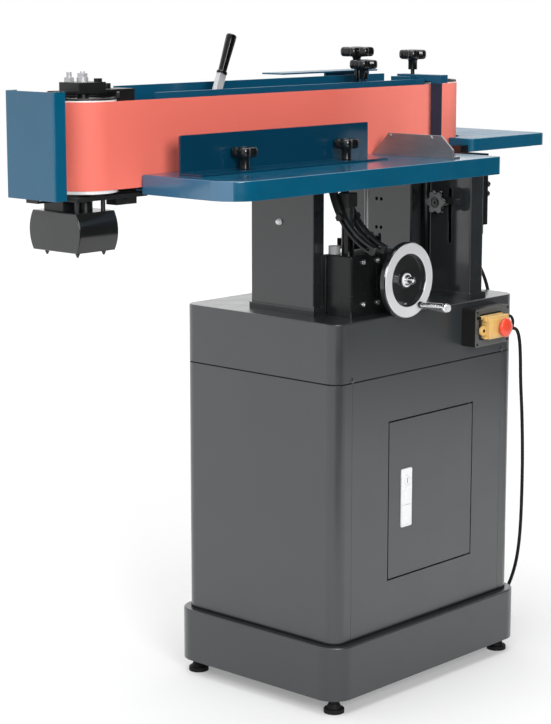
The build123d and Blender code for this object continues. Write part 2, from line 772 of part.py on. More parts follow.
with BuildPart() as crank_handle:
    with BuildSketch(Plane(origin=(crank_x, 0, crank_z))):
        with BuildLine():
            Polyline(
                (crank_pin_r + running, wheel_y - 12),
                (7, wheel_y - 12),
                (7.5, wheel_y - 20),
                (10, wheel_y - 58),
                (9, wheel_y - 74),
                (7, wheel_y - 78.5),
                (crank_pin_r + running, wheel_y - 78.5),
                close=True,
            )
        make_face()
    revolve(axis=Axis((crank_x, 0, crank_z), (0, 1, 0)))
save(crank_handle, "crank_handle")

# Main table, ribbed underneath, with bosses for the fence knobs and a pad for the trunnions
with BuildPart() as main_table:
    slab((table_left, table_right), (table_front, table_back), (table_bottom, table_top))
    corner = (table_left, table_front, table_top - table_t / 2)
    fillet(main_table.edges().filter_by(Axis.Z).sort_by_distance(corner)[0], table_corner_r)
    corner = (table_right, table_front, table_top - table_t / 2)
    fillet(main_table.edges().filter_by(Axis.Z).sort_by_distance(corner)[0], 8.0)
    fillet(main_table.edges().group_by(Axis.Z)[-1], table_edge_r)
    inner_w = table_right - table_left - 2 * table_rim
    inner_d = table_back - table_front - 2 * table_rim
    with BuildSketch(Plane.XY.offset(table_bottom)):
        with Locations(((table_left + table_right) / 2, (table_front + table_back) / 2)):
            RectangleRounded(inner_w, inner_d, table_corner_r - table_rim)
    extrude(amount=table_t - table_skin, mode=Mode.SUBTRACT)
    rib_z = (table_bottom + 6, table_top - table_skin / 2)
    for x in (-300, -140, 160):
        slab((x - 4, x + 4), (table_front + 4, table_back - 4), rib_z)
    slab((table_left + 4, table_right - 4), (tilt_y + 52, tilt_y + 60), rib_z)
    slab((-30, 90), (table_front + 10, table_back - 10), (table_bottom, table_top - 4))
    for x in (fence_knob_a, fence_knob_b):
        upright(x, fence_knob_y, (table_bottom + 6, table_top - 4), 14)
        upright(x, fence_knob_y, (table_bottom - 1, table_top + 1), 4 + running, Mode.SUBTRACT)
save(main_table, "main_table")

# Two curved trunnions under the table, one on each side of the post, slotted about the tilt axis
with BuildSketch() as trunnion_shape:
    with Locations((tilt_y, tilt_z)):
        Circle(trunnion_r)
        Circle(trunnion_in, mode=Mode.SUBTRACT)
    with BuildLine():
        end_way = math.radians(trunnion_end)
        drop = tilt_z - table_bottom
        far = 2 * trunnion_r
        end_spot = (tilt_y + far * math.cos(end_way), tilt_z + far * math.sin(end_way))
        Polyline(
            (tilt_y - drop / math.tan(end_way), table_bottom),
            end_spot,
            (tilt_y + far, tilt_z - far),
            (tilt_y + far, table_bottom),
            close=True,
        )
    make_face(mode=Mode.INTERSECT)
    with Locations((tilt_y + trunnion_r - 33, table_bottom - 7)):
        Rectangle(62, 14)
    slot_from = clamp_angle - tilt_range - 2
    slot_arc = CenterArc((tilt_y, tilt_z), trunnion_slot_r, slot_from, tilt_range + 4, mode=Mode.PRIVATE)
    SlotArc(slot_arc, 2 * clamp_r + 2 * slip, mode=Mode.SUBTRACT)
with BuildPart() as table_trunnions:
    for x in (cheek_x[0] - slip - trunnion_t, cheek_x[1] + slip):
        with BuildSketch(Plane.YZ.offset(x)):
            add(trunnion_shape.sketch)
        extrude(amount=trunnion_t)
save(table_trunnions, "table_trunnions")

# Work stop: a bent plate screwed to the table at the right end of the belt
with BuildPart() as work_stop:
    with BuildSketch(Plane.YZ.offset(stop_plate_x)):
        with BuildLine():
            Polyline(
                (table_back - 3, table_top),
                (table_back - 43, table_top + 43),
                (-204, table_top + 43),
                (-233, table_top + 17),
                (-233, table_top),
                close=True,
            )
        make_face()
    extrude(amount=stop_plate_t)
    slab((stop_plate_x, stop_plate_x + 30), (-226, table_back - 11), (table_top, table_top + 3))
    for y in (-190, -90):
        upright(stop_plate_x + 17, y, (table_top + 3, table_top + 7), 6)
        along_x((stop_plate_x - 2, stop_plate_x), y + 10, table_top + 38, 3)
save(work_stop, "work_stop")

# Fence: an angle plate slotted for its two clamping knobs
fence_low = table_top + 0.2
with BuildPart() as fence:
    slab((fence_left, fence_right), (fence_y, fence_y + fence_t), (fence_low, table_top + fence_h))
    foot_y = (fence_y - fence_foot, fence_y + 1)
    slab((fence_left, fence_right), foot_y, (fence_low, fence_low + fence_foot_t))
    fillet(fence.edges().filter_by(Axis.Y).group_by(Axis.Z)[-1], 4.0)
    with BuildSketch(Plane.XY.offset(table_top)):
        slot_y = fence_knob_y - fence_travel / 2
        with Locations((fence_knob_a, slot_y), (fence_knob_b, slot_y)):
            SlotOverall(fence_travel + 9, 9, rotation=90)
    extrude(amount=10, mode=Mode.SUBTRACT)
save(fence, "fence")

fence_clear = fence_low + fence_foot_t + 0.2
with BuildPart() as fence_knob_left:
    seat = Plane(origin=(fence_knob_a, fence_knob_y, fence_clear))
    star_knob(seat, fence_knob_d, 17, 9, 21, 4, 0, 30, 4)
save(fence_knob_left, "fence_knob_left")
with BuildPart() as fence_knob_right:
    seat = Plane(origin=(fence_knob_b, fence_knob_y, fence_clear))
    star_knob(seat, fence_knob_d, 17, 9, 21, 4, 0, 30, 4)
save(fence_knob_right, "fence_knob_right")

# Belt and drums
with BuildPart() as sanding_belt:
    with BuildSketch(Plane.XY.offset(belt_bottom)):
        with Locations(((idle_x + drive_x) / 2, belt_y)):
            SlotOverall(centre_distance + 2 * belt_out, 2 * belt_out)
            SlotOverall(centre_distance + 2 * belt_in, 2 * belt_in, mode=Mode.SUBTRACT)
    extrude(amount=belt_width)
save(sanding_belt, "sanding_belt")


def drum(x, bore):
    # A hollow drum with a disc near each end
    with BuildPart() as made:
        upright(x, belt_y, (drum_low, drum_high), drum_r)
        fillet(made.edges(), 1.0)
        upright(x, belt_y, (drum_low, drum_high), drum_r - drum_wall, Mode.SUBTRACT)
        upright(x, belt_y, (drum_low + web_inset, drum_low + web_inset + web_t), drum_r - 1)
        upright(x, belt_y, (drum_high - web_inset - web_t, drum_high - web_inset), drum_r - 1)
        upright(x, belt_y, (drum_low - 1, drum_high + 1), bore, Mode.SUBTRACT)
    return made


idle_drum = drum(idle_x, bearing_r + running)
save(idle_drum, "idle_drum")

with BuildPart() as drive_drum:
    add(drum(drive_x, shaft_r).part)
    upright(drive_x, belt_y, (985, drum_high - 4), shaft_r)
    upright(drive_x, belt_y, (drum_high - 4, drum_high - 1), 18)
save(drive_drum, "drive_drum")

low_bearing = drum_low + web_inset + (web_t - bearing_t) / 2
high_bearing = drum_high - web_inset - web_t + (web_t - bearing_t) / 2
with BuildPart() as idle_axle:
    upright(idle_x, belt_y, (axle_low, block_top + 8), axle_r)
    hex_up(idle_x, belt_y, (block_top + 8, block_top + 15), 9)
    upright(idle_x, belt_y, (block_top + 15, block_top + 18), 4)
    upright(idle_x, belt_y, (low_bearing + bearing_t, high_bearing), 14)
save(idle_axle, "idle_axle")

with BuildPart() as idle_bearings:
    for z in (low_bearing, high_bearing):
        upright(idle_x, belt_y, (z, z + bearing_t), bearing_r)
        upright(idle_x, belt_y, (z, z + bearing_t), axle_r + 0.01, Mode.SUBTRACT)
save(idle_bearings, "idle_bearings")

# Platen frame: two long plates on a floor that also carries the motor, with a shelf inside
with BuildPart() as platen_frame:
    slab((frame_left, frame_right), (frame_front, frame_front + frame_plate), (frame_low, frame_front_top))
    slab((frame_left, frame_right), (frame_back - frame_plate, frame_back), (frame_low, frame_back_top))
    slab((frame_left, drive_x), (frame_front, frame_back), (frame_low, floor_top))
    upright(drive_x, belt_y, (frame_low, floor_top), motor_plate_r)
    upright(drive_x, belt_y, (frame_low - 1, floor_top + 1), 30, Mode.SUBTRACT)
    slab((frame_left, frame_right), (frame_front + 1, frame_back - 1), (shelf_z, shelf_top))
    for y in (belt_y - rod_r - 0.5 - 6, belt_y + rod_r + 0.5):
        slab((lever_x - 18, lever_x + 18), (y, y + 6), (shelf_top - 1, lever_z + 12))
    slab((guide_left, guide_right), (belt_y - 20, belt_y + 20), (shelf_top - 1, rod_z + 20))
    upright(track_x, track_y, (shelf_top - 1, shelf_top + 14), 13)
    upright(lock_x, lock_y, (shelf_top - 1, shelf_top + 14), 11)
    bench_y = (belt_y - 27, belt_y + 21)
    slab((frame_right - 14, frame_right), bench_y, (shelf_top - 1, guard_z - slip))
    slab((frame_right - 14, drum_edge - 1), bench_y, (guard_z - 10, guard_z - slip))
    along_x((guide_left - 1, guide_right + 1), belt_y, rod_z, rod_r + running, Mode.SUBTRACT)
    along_y(lever_x, (belt_y - 29, belt_y + 31), lever_z, lever_pin_r + running, Mode.SUBTRACT)
    upright(track_x, track_y, (shelf_z - 1, shelf_top + 15), 5 + running, Mode.SUBTRACT)
    upright(lock_x, lock_y, (shelf_z - 1, shelf_top + 15), 4 + running, Mode.SUBTRACT)
    upright(guard_knob_x, guard_knob_y, (guard_z - 14, guard_z + 1), 4 + running, Mode.SUBTRACT)
save(platen_frame, "platen_frame")

with BuildPart() as platen_pad:
    pad_x = (frame_left + 12, frame_right - 12)
    slab(pad_x, (frame_front - pad_t, frame_front), (belt_bottom + 6, belt_top - 6))
save(platen_pad, "platen_pad")

# Idler carriage: a C bracket whose two arms hold the axle, drawn left by the tension rod
bracket_floor_top = bracket_low + bracket_floor
tab_y = (belt_y - 15, belt_y + 15)
arm_y = (belt_y - 20, belt_y + 20)
with BuildPart() as idler_bracket:
    slab((bracket_post, bracket_right), arm_y, (bracket_low, arm_low + arm_t))
    slab((bracket_left, bracket_right), arm_y, (arm_low, arm_low + arm_t))
    slab((idle_x - 31, idle_x + 31), (belt_y - 25, belt_y + 25), (arm_low, block_top))
    slab((idle_x + 17, idle_x + 27), (belt_y - 20, belt_y - 10), (block_top - 1, block_top + 6))
    slab((bracket_left, bracket_right), (belt_y - 49, belt_y + 49), (bracket_low, bracket_floor_top))
    upright(idle_x, belt_y, (gear_z + gear_half, bracket_low + 1), 14)
    slab((bracket_left, bracket_left + 26), (belt_y - 14, belt_y + 33), (gear_z + gear_half, bracket_low + 1))
    slab((idle_x + 35, idle_x + 83), (belt_y - 43, belt_y - 17), (1000, bracket_low + 1))
    along_y(idle_x + 59, (belt_y - 48, belt_y - 43), 1005, 4)
    inner_side = side_x + sheet
    slab((inner_side, bracket_left + 1), tab_y, (arm_low, arm_low + 3))
    slab((inner_side, inner_side + 3), tab_y, (arm_low - 30, arm_low + 3))
    slab((inner_side, bracket_left + 1), tab_y, (bracket_low, bracket_low + 4))
    slab((inner_side, inner_side + 3), tab_y, (bracket_low, bracket_low + 38))
    along_x((bracket_right - 2, lever_x - 14 - slide_travel), belt_y, rod_z, rod_r)
    upright(idle_x, belt_y, (gear_z, block_top + 5), axle_r + running, Mode.SUBTRACT)
save(idler_bracket, "idler_bracket")

bolt_spots = [(idle_x + u, belt_y + v) for u in (-52.8, 7.2) for v in (-39, 39)]
with BuildPart() as idler_fasteners:
    for x, y in bolt_spots:
        upright(x, y, (gear_z - gear_half - 3, bracket_low), 4)
        with Locations((x, y, gear_z - gear_half - 9)):
            Cone(1.5, 4, 6, align=(Align.CENTER, Align.CENTER, Align.MIN))
    hex_up(idle_x - 17, belt_y + 15, (block_top, block_top + 8), 9)
    upright(idle_x - 17, belt_y + 15, (block_top + 8, block_top + 17), 4.5)
save(idler_fasteners, "idler_fasteners")

with BuildPart() as gearbox_cover:
    with BuildSketch(Plane.YZ.offset(gear_left)):
        with Locations((belt_y, gear_z)):
            Circle(gear_r)
            Rectangle(2 * gear_r, 2 * gear_half, mode=Mode.INTERSECT)
    extrude(amount=gear_right - gear_left)
    fillet(gearbox_cover.edges().group_by(Axis.X)[0], 2.0)
    with BuildSketch(Plane.YZ.offset(gear_left + gear_wall)):
        with Locations((belt_y, gear_z)):
            Circle(gear_r - gear_wall)
            inner = gear_half - gear_wall
            Rectangle(2 * gear_r, 2 * inner, mode=Mode.INTERSECT)
    extrude(amount=gear_right - gear_left - 2 * gear_wall, mode=Mode.SUBTRACT)
    for x in ((gear_left + 2, gear_left + 10), (gear_right - 10, gear_right - 2)):
        along_x(x, belt_y, cam_z, 10)
    bore_x = (gear_left + 2.5, gear_right - 2.5)
    along_x(bore_x, belt_y, cam_z, cam_shaft_r + running, Mode.SUBTRACT)
    upright(idle_x, belt_y, (gear_z + 20, gear_z + gear_half + 1), axle_r + 1, Mode.SUBTRACT)
    for x, y in bolt_spots:
        upright(x, y, (gear_z - gear_half - 1, gear_z + gear_half + 1), 4 + slip, Mode.SUBTRACT)
save(gearbox_cover, "gearbox_cover")

with BuildPart() as oscillation_cam:
    along_x((bore_x[0] + 0.5, bore_x[1] - 0.5), belt_y, cam_z, cam_shaft_r)
    along_x((idle_x - 6, idle_x + 6), belt_y, cam_z - cam_throw, cam_r)
save(oscillation_cam, "oscillation_cam")

with BuildPart() as left_end_cover:
    side_y = (belt_front - 3, belt_back + 3)
    side_z = (belt_bottom - 11, belt_top + 20)
    slab((side_x, side_x + side_return), side_y, side_z)
    fillet(left_end_cover.edges().filter_by(Axis.Z).group_by(Axis.X)[0], 4.0)
    inner_y = (side_y[0] + sheet, side_y[1] - sheet)
    slab((side_x + sheet, side_x + 40), inner_y, (side_z[0] - 10, side_z[1] + 10), Mode.SUBTRACT)
save(left_end_cover, "left_end_cover")

# Tension spring on the rod, between the bracket's post and the guide block
spring_from = bracket_right + spring_wire / 2 + spring_wire + 0.5
spring_to = guide_left - spring_wire / 2 - spring_wire - 0.5
spring_rise = (spring_to - spring_from) / spring_turns
stations = []
headings = []
for k in range(4 * spring_turns + 1):
    a = k * math.pi / 2
    side = spring_r * math.cos(a)
    rise = spring_r * math.sin(a)
    spot = Vector(spring_from + spring_rise * k / 4, belt_y + side, rod_z + rise)
    way = Vector(spring_rise / (2 * math.pi), -rise, side)
    stations.append(spot)
    headings.append(way.normalized())
with BuildPart() as tension_spring:
    with BuildLine() as path:
        wind(stations, headings, spring_wire, spring_wire)
    wire = path.wires()[0]
    with BuildSketch(Plane(origin=wire @ 0, z_dir=wire % 0)):
        Circle(spring_wire / 2)
    sweep(path=wire)
    for x in ((bracket_right, spring_from - 1), (spring_to + 1, guide_left)):
        along_x(x, belt_y, rod_z, spring_r + spring_wire / 2)
        along_x(x, belt_y, rod_z, rod_r + slip, Mode.SUBTRACT)
print("spring self gap", round(self_gap(wire, 2 * math.pi * spring_r, spring_wire), 2))
save(tension_spring, "tension_spring")

# Quick-release lever, leaning to the right
lean = math.radians(lever_lean)
lever_way = Plane(origin=(lever_x, belt_y, lever_z), z_dir=(math.sin(lean), 0, math.cos(lean)))
with BuildPart() as tension_lever:
    along_y(lever_x, (belt_y - lever_t / 2, belt_y + lever_t / 2), lever_z, 11)
    along_y(lever_x, (belt_y - rod_r - 7.5, belt_y + rod_r + 7.5), lever_z, lever_pin_r)
    with BuildSketch(lever_way):
        Rectangle(16, lever_t)
    extrude(amount=58)
    with BuildSketch(lever_way.offset(58)):
        Rectangle(9, 7)
    extrude(amount=55)
save(tension_lever, "tension_lever")

with BuildPart() as lever_grip:
    with Locations(lever_way.offset(58).location):
        Cone(7.4, 9.4, 76, align=(Align.CENTER, Align.CENTER, Align.MIN))
        Cylinder(10, 5, align=(Align.CENTER, Align.CENTER, Align.MIN))
    fillet(lever_grip.edges().group_by(Axis(lever_way.origin, lever_way.z_dir))[-1], 3.5)
    with BuildSketch(lever_way.offset(58)):
        Rectangle(9.02, 7.02)
    extrude(amount=55.02, mode=Mode.SUBTRACT)
save(lever_grip, "lever_grip")

# Tracking and lock knobs on the shelf
track_seat = Plane(origin=(track_x, track_y, shelf_top + 14.2))
with BuildPart() as tracking_knob:
    star_knob(track_seat, 60, 18, 8, 20, 5, 66, 18, 7)
save(tracking_knob, "tracking_knob")
lock_seat = Plane(origin=(lock_x, lock_y, shelf_top + 14.2))
with BuildPart() as tracking_lock_knob:
    star_knob(lock_seat, 52, 17, 8.5, 20, 4, 43, 18, 5)
save(tracking_lock_knob, "tracking_lock_knob")

# Edge guard: a bent strap over the right end of the platen
guard_slot = 2 * 4.5
with BuildPart() as edge_guard:
    slab((guard_x, guard_x + 23), (guard_front, belt_y + 19), (guard_z, guard_z + 4))
    slab((guard_x, guard_x + 5), (guard_front, belt_front + 31), (guard_z - 9, guard_z + 4))
    slab((guard_x, guard_x + 5), (guard_front, guard_front + 24), (belt_bottom + 33, guard_z + 4))
    slab((guard_x, guard_x + 23), (guard_front, guard_front + 5), (guard_z - 12, guard_z + 4))
    with BuildSketch(Plane.XY.offset(guard_z - 1)):
        with Locations((guard_knob_x, guard_knob_y + guard_travel / 2)):
            SlotOverall(guard_travel + guard_slot, guard_slot, rotation=90)
    extrude(amount=8, mode=Mode.SUBTRACT)
save(edge_guard, "edge_guard")

with BuildPart() as edge_guard_knob:
    guard_seat = Plane(origin=(guard_knob_x, guard_knob_y, guard_z + 4.2))
    star_knob(guard_seat, 53, 18, 8.5, 21, 4, 9, 17, 5)
save(edge_guard_knob, "edge_guard_knob")

# Drive motor hung under the frame's floor
with BuildPart() as drive_motor:
    upright(drive_x, belt_y, (frame_low - 12, frame_low), motor_r + 2)
    upright(drive_x, belt_y, (motor_low + 46, frame_low - 12), motor_r)
    upright(drive_x, belt_y, (motor_low, motor_low + 46), motor_r + fin_out)
    fillet(drive_motor.edges().group_by(Axis.Z)[0], 6.0)
    with Locations((drive_x, belt_y, (motor_low + 46 + frame_low - 24) / 2)):
        with PolarLocations(motor_r + fin_out / 2 - 1, 28):
            Box(fin_out + 2, 3, frame_low - 24 - motor_low - 46)
    terminal_x = (motor_entry[0] - 21, motor_entry[0] + 21)
    terminal_y = (motor_entry[1] - 21, motor_entry[1] + 21)
    slab(terminal_x, terminal_y, (motor_entry_z, motor_entry_z + 62))
    upright(drive_x, belt_y, (980, frame_low + 1), shaft_r + running, Mode.SUBTRACT)
save(drive_motor, "drive_motor")

# Rear cover over the belt's back run, with the dust spigot
with BuildPart() as rear_cover:
    slab(cover_x, cover_y, cover_z)
    fillet(rear_cover.edges().filter_by(Axis.X).group_by(Axis.Y)[-1], 8.0)
    inner_x = (cover_x[0] + sheet, cover_x[1] - sheet)
    inner_z = (cover_z[0] + sheet, cover_z[1] - sheet)
    slab(inner_x, (cover_y[0] - 1, cover_y[1] - sheet), inner_z, Mode.SUBTRACT)
    slab(cover_x, (frame_back, cover_y[0] + 1), (cover_z[0], cover_z[0] + sheet))
    slab(cover_x, (cover_y[0] + 4, cover_y[1]), flap_z)
    web_y = (cover_y[0] + 26, cover_y[0] + 30)
    slab((cover_x[1] - 135, cover_x[1]), web_y, (cover_z[1] - sheet, flap_z[0] + 1))
    along_y(port_x, (cover_y[1] - 1, cover_y[1] + port_length), port_z, port_r)
    along_y(port_x, (cover_y[1] - 5, cover_y[1] + port_length + 1), port_z, port_r - port_t, Mode.SUBTRACT)
save(rear_cover, "rear_cover")

# End table round the drive drum, on an arm that slides on the slotted column and is let into it
with BuildPart() as end_table:
    slab((end_left, end_right), (belt_y - end_half, belt_y + end_half), (end_low, end_top))
    fillet(end_table.edges().filter_by(Axis.Z), end_corner_r)
    fillet(end_table.edges().group_by(Axis.Z)[-1], table_edge_r)
    upright(drive_x, belt_y, (end_low - 1, end_top + 1), end_cut_r, Mode.SUBTRACT)
    through = (end_low - 1, end_top + 1)
    slab((end_left - 1, drive_x), (belt_y - end_cut_r, belt_y + end_cut_r), through, Mode.SUBTRACT)
    hollow_y = (belt_y - end_half + 40, belt_y + end_half - 14)
    slab((500, end_right - 14), hollow_y, (end_low - 1, end_low + 13), Mode.SUBTRACT)
    groove_y = (arm_bar_y[0] - slip, arm_bar_y[1] + slip)
    slab((end_left - 1, arm_end + slip), groove_y, (end_low - 1, end_low + arm_let), Mode.SUBTRACT)
save(end_table, "end_table")

with BuildPart() as end_table_arm:
    slab((arm_left + 0.2, arm_left + 15), (-143, -62), (902, end_low - 1))
    slab((arm_left + 0.2, arm_end), arm_bar_y, (end_low - 2, end_low + arm_let))
    slab((arm_left + 1, arm_left + 30), (-130, -95), (965, 996))
    along_x((arm_left - 1, arm_left + 16), end_slot_y, end_knob_z, 4 + running, Mode.SUBTRACT)
save(end_table_arm, "end_table_arm")

with BuildPart() as end_table_knob:
    face_x = end_column_x - end_column_t / 2 - 0.2
    knob_seat = Plane(origin=(face_x, end_slot_y, end_knob_z), x_dir=(0, 1, 0), z_dir=(-1, 0, 0))
    star_knob(knob_seat, 52, 17, 9, 30, 4, 0, end_column_t + 14, 6)
save(end_table_knob, "end_table_knob")

# Held cables: motor to cabinet, and the loop from the switch box into the cabinet's front
motor_route = [
    (motor_entry[0], motor_entry[1], motor_entry_z - 12),
    (motor_entry[0], motor_entry[1], 832),
    (472, -52, 802),
    (482, -62, 772),
    (493, -70, 742),
    (503, wall_entry[0], 713),
    (508, wall_entry[0] - 0.5, 687),
    (505, wall_entry[0], 668),
    (497, wall_entry[0], wall_entry[1]),
    (right + 15, wall_entry[0], wall_entry[1]),
]
cord(motor_route, mains_d, "motor_cable")
lead_route = [
    (box_right + 18, lead_y, lead_z),
    (430.5, lead_y, lead_z),
    (441, lead_y, lead_z - 4.5),
    (446, lead_y + 0.1, lead_z - 13.5),
    (445, lead_y + 0.3, lead_z - 22.5),
    (441.5, lead_y + 0.6, grommet_z + 5.5),
    (grommet_x, lead_y + 5.2, grommet_z),
    (grommet_x, front - 3, grommet_z),
]
cord(lead_route, lead_d, "switch_lead")

# Mains cord: down in front of the cabinet's corner, round behind it and to the coil on the floor
coil_start = coil_y - mains_d
cord_y = front - 17.5
mains_route = [
    (box_right + 28, mains_y, mains_z),
    (446, mains_y, mains_z),
    (459, mains_y + 0.3, mains_z - 19),
    (465.5, cord_y - 1, 632),
    (470, cord_y + 0.5, 575),
    (476, cord_y, 515),
    (481, cord_y + 0.5, 455),
    (484, cord_y + 1, 395),
    (486, cord_y + 2.5, 335),
    (487.5, cord_y + 4.5, 278),
    (491, cord_y + 10, 228),
    (498, cord_y + 21, 185),
    (508, cord_y + 38, 146),
    (519, cord_y + 60, 108),
    (528, cord_y + 86, 72),
    (535, cord_y + 115, 42),
    (540, cord_y + 145, 20),
    (542.5, cord_y + 175, 8),
    (coil_x - coil_out, coil_start - 25, coil_z),
    (coil_x - coil_out, coil_start, coil_z),
]
cord(mains_route, mains_d, "mains_cord")

# Put-away length: a neat coil in two layers, spiralling in, up a layer and out again
coil_mid = math.pi * coil_turns
stations = []
headings = []
for k in range(int(4 * coil_turns) + 1):
    a = k * math.pi / 2
    off = a - coil_mid
    r = coil_min_r + coil_pitch * abs(off) / (2 * math.pi)
    turn = math.pi - a
    u = max(0.0, min(1.0, off / math.pi + 0.5))
    climb = coil_layer * (0.5 - 0.5 * math.cos(math.pi * u))
    rise = coil_layer * 0.5 * math.sin(math.pi * u)
    grow = 0.0
    if abs(off) > 1e-6:
        grow = math.copysign(coil_pitch / (2 * math.pi), off)
    spot = Vector(coil_x + r * math.cos(turn), coil_y + r * math.sin(turn), coil_z + climb)
    way = Vector(
        grow * math.cos(turn) + r * math.sin(turn),
        grow * math.sin(turn) - r * math.cos(turn),
        rise,
    )
    if k == 0 or k == int(4 * coil_turns):
        way = Vector(math.sin(turn), -math.cos(turn), 0)
    stations.append(spot)
    headings.append(way.normalized())
with BuildPart() as cord_coil:
    with BuildLine() as path:
        wind(stations, headings, mains_d, coil_tail)
    wire = path.wires()[0]
    with BuildSketch(Plane(origin=wire @ 0, z_dir=wire % 0)):
        Circle(mains_d / 2)
    sweep(path=wire)
print("coil self gap", round(self_gap(wire, 2 * math.pi * coil_min_r, mains_d), 2))
print("coil length", round(wire.length, 1))
print("coil volume ratio", round(cord_coil.part.volume / (math.pi * mains_d**2 / 4 * wire.length), 4))
save(cord_coil, "cord_coil")

# Tie: a flat strap round the coil's far side
tie_in = coil_min_r - mains_d / 2 - 1.5
tie_out = coil_out + mains_d / 2 + 1.5
tie_high = coil_z + coil_layer + mains_d / 2 + 0.4
with BuildPart() as cord_tie:
    tie_x = (coil_x - 6, coil_x + 6)
    slab(tie_x, (coil_y + tie_in - coil_lift, coil_y + tie_out + coil_lift), (0, tie_high + coil_lift))
    inner_y = (coil_y + tie_in, coil_y + tie_out)
    slab((coil_x - 7, coil_x + 7), inner_y, (coil_lift - 0.4, tie_high), Mode.SUBTRACT)
save(cord_tie, "cord_tie")

plug_y = coil_y - coil_tail
plug_x = coil_x + coil_out
plug_z = coil_z + coil_layer
with BuildPart() as mains_plug:
    with Locations(Location((plug_x, plug_y, plug_z), (90, 0, 0))):
        Cone(5.5, 7, 16, align=(Align.CENTER, Align.CENTER, Align.MIN))
    slab((plug_x - 13, plug_x + 13), (plug_y - 48, plug_y - 16), (plug_z - 11, plug_z + 11))
    fillet(mains_plug.edges().filter_by(Axis.Y), 6.0)
    for x in (plug_x - 8, plug_x + 8):
        along_y(x, (plug_y - 66, plug_y - 48), plug_z, 2.4)
save(mains_plug, "mains_plug")
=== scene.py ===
import math

import bmesh
import bpy
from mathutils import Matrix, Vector


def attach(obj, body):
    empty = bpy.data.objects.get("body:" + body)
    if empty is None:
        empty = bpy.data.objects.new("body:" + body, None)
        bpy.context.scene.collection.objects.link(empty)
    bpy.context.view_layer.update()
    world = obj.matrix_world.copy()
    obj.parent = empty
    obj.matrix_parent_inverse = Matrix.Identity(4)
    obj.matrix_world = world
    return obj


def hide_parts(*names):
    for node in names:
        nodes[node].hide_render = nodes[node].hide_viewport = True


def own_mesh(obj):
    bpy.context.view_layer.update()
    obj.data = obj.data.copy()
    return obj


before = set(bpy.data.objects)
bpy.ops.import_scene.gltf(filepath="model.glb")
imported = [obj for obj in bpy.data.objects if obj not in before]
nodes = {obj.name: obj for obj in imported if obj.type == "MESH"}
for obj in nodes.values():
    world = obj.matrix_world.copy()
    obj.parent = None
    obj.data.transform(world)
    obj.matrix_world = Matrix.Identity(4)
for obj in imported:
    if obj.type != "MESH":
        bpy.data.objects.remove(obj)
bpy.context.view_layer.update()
scene = bpy.context.scene
scene.view_settings.view_transform = "Standard"

MM = 0.001
UP, EAST, WEST, FRONT, BACK = (0, 0, 1), (1, 0, 0), (-1, 0, 0), (0, -1, 0), (0, 1, 0)


# Node helpers. Textures run in object space, in metres

def add(tree, kind, **values):
    made = tree.nodes.new(kind)
    for key, value in values.items():
        if hasattr(made, key):
            setattr(made, key, value)
        else:
            made.inputs[key.replace("_", " ")].default_value = value
    return made


def feed(tree, socket, value):
    if isinstance(value, bpy.types.NodeSocket):
        tree.links.new(value, socket)
    else:
        socket.default_value = value


def noise(tree, coords, scale, detail=4.0, rough=0.5):
    tex = add(tree, "ShaderNodeTexNoise", Scale=scale, Detail=detail, Roughness=rough)
    tree.links.new(coords, tex.inputs["Vector"])
    return tex.outputs["Fac"]


def span(tree, value, low, high, from_low=0.3, from_high=0.7):
    node = tree.nodes.new("ShaderNodeMapRange")
    node.inputs["From Min"].default_value = from_low
    node.inputs["From Max"].default_value = from_high
    node.inputs["To Min"].default_value = low
    node.inputs["To Max"].default_value = high
    tree.links.new(value, node.inputs["Value"])
    return node.outputs["Result"]


def mix(tree, factor, one, two):
    node = tree.nodes.new("ShaderNodeMix")
    node.data_type = "RGBA"
    tree.links.new(factor, node.inputs["Factor"])
    for socket, value in ((node.inputs[6], one), (node.inputs[7], two)):
        feed(tree, socket, value if isinstance(value, bpy.types.NodeSocket) else (*value, 1.0))
    return node.outputs[2]


def sums(tree, operation, a, b=0.0):
    node = tree.nodes.new("ShaderNodeMath")
    node.operation = operation
    feed(tree, node.inputs[0], a)
    feed(tree, node.inputs[1], b)
    return node.outputs[0]


def vector_sums(tree, operation, a, b):
    node = tree.nodes.new("ShaderNodeVectorMath")
    node.operation = operation
    feed(tree, node.inputs[0], a)
    feed(tree, node.inputs[1], b)
    return node


def split(tree, output):
    # The three parts of the object's own coordinates or normal
    node = tree.nodes.new("ShaderNodeSeparateXYZ")
    tree.links.new(tree.nodes.new("ShaderNodeTexCoord").outputs[output], node.inputs[0])
    return node.outputs


def from_axis(tree, centre, flat):
    # Distance from an axis through centre; flat is 0 along the axis and 1 across it
    coords = tree.nodes.new("ShaderNodeTexCoord").outputs["Object"]
    moved = vector_sums(tree, "SUBTRACT", coords, centre).outputs[0]
    across = vector_sums(tree, "MULTIPLY", moved, flat).outputs[0]
    return vector_sums(tree, "LENGTH", across, (0, 0, 0)).outputs["Value"]


def shade(color, k):
    return tuple(max(0.0, c * k) for c in color)


# Finishes: colour that drifts, a gloss that varies, a grain, rounded edges that may be worn

LATHE_LINES = 5200.0


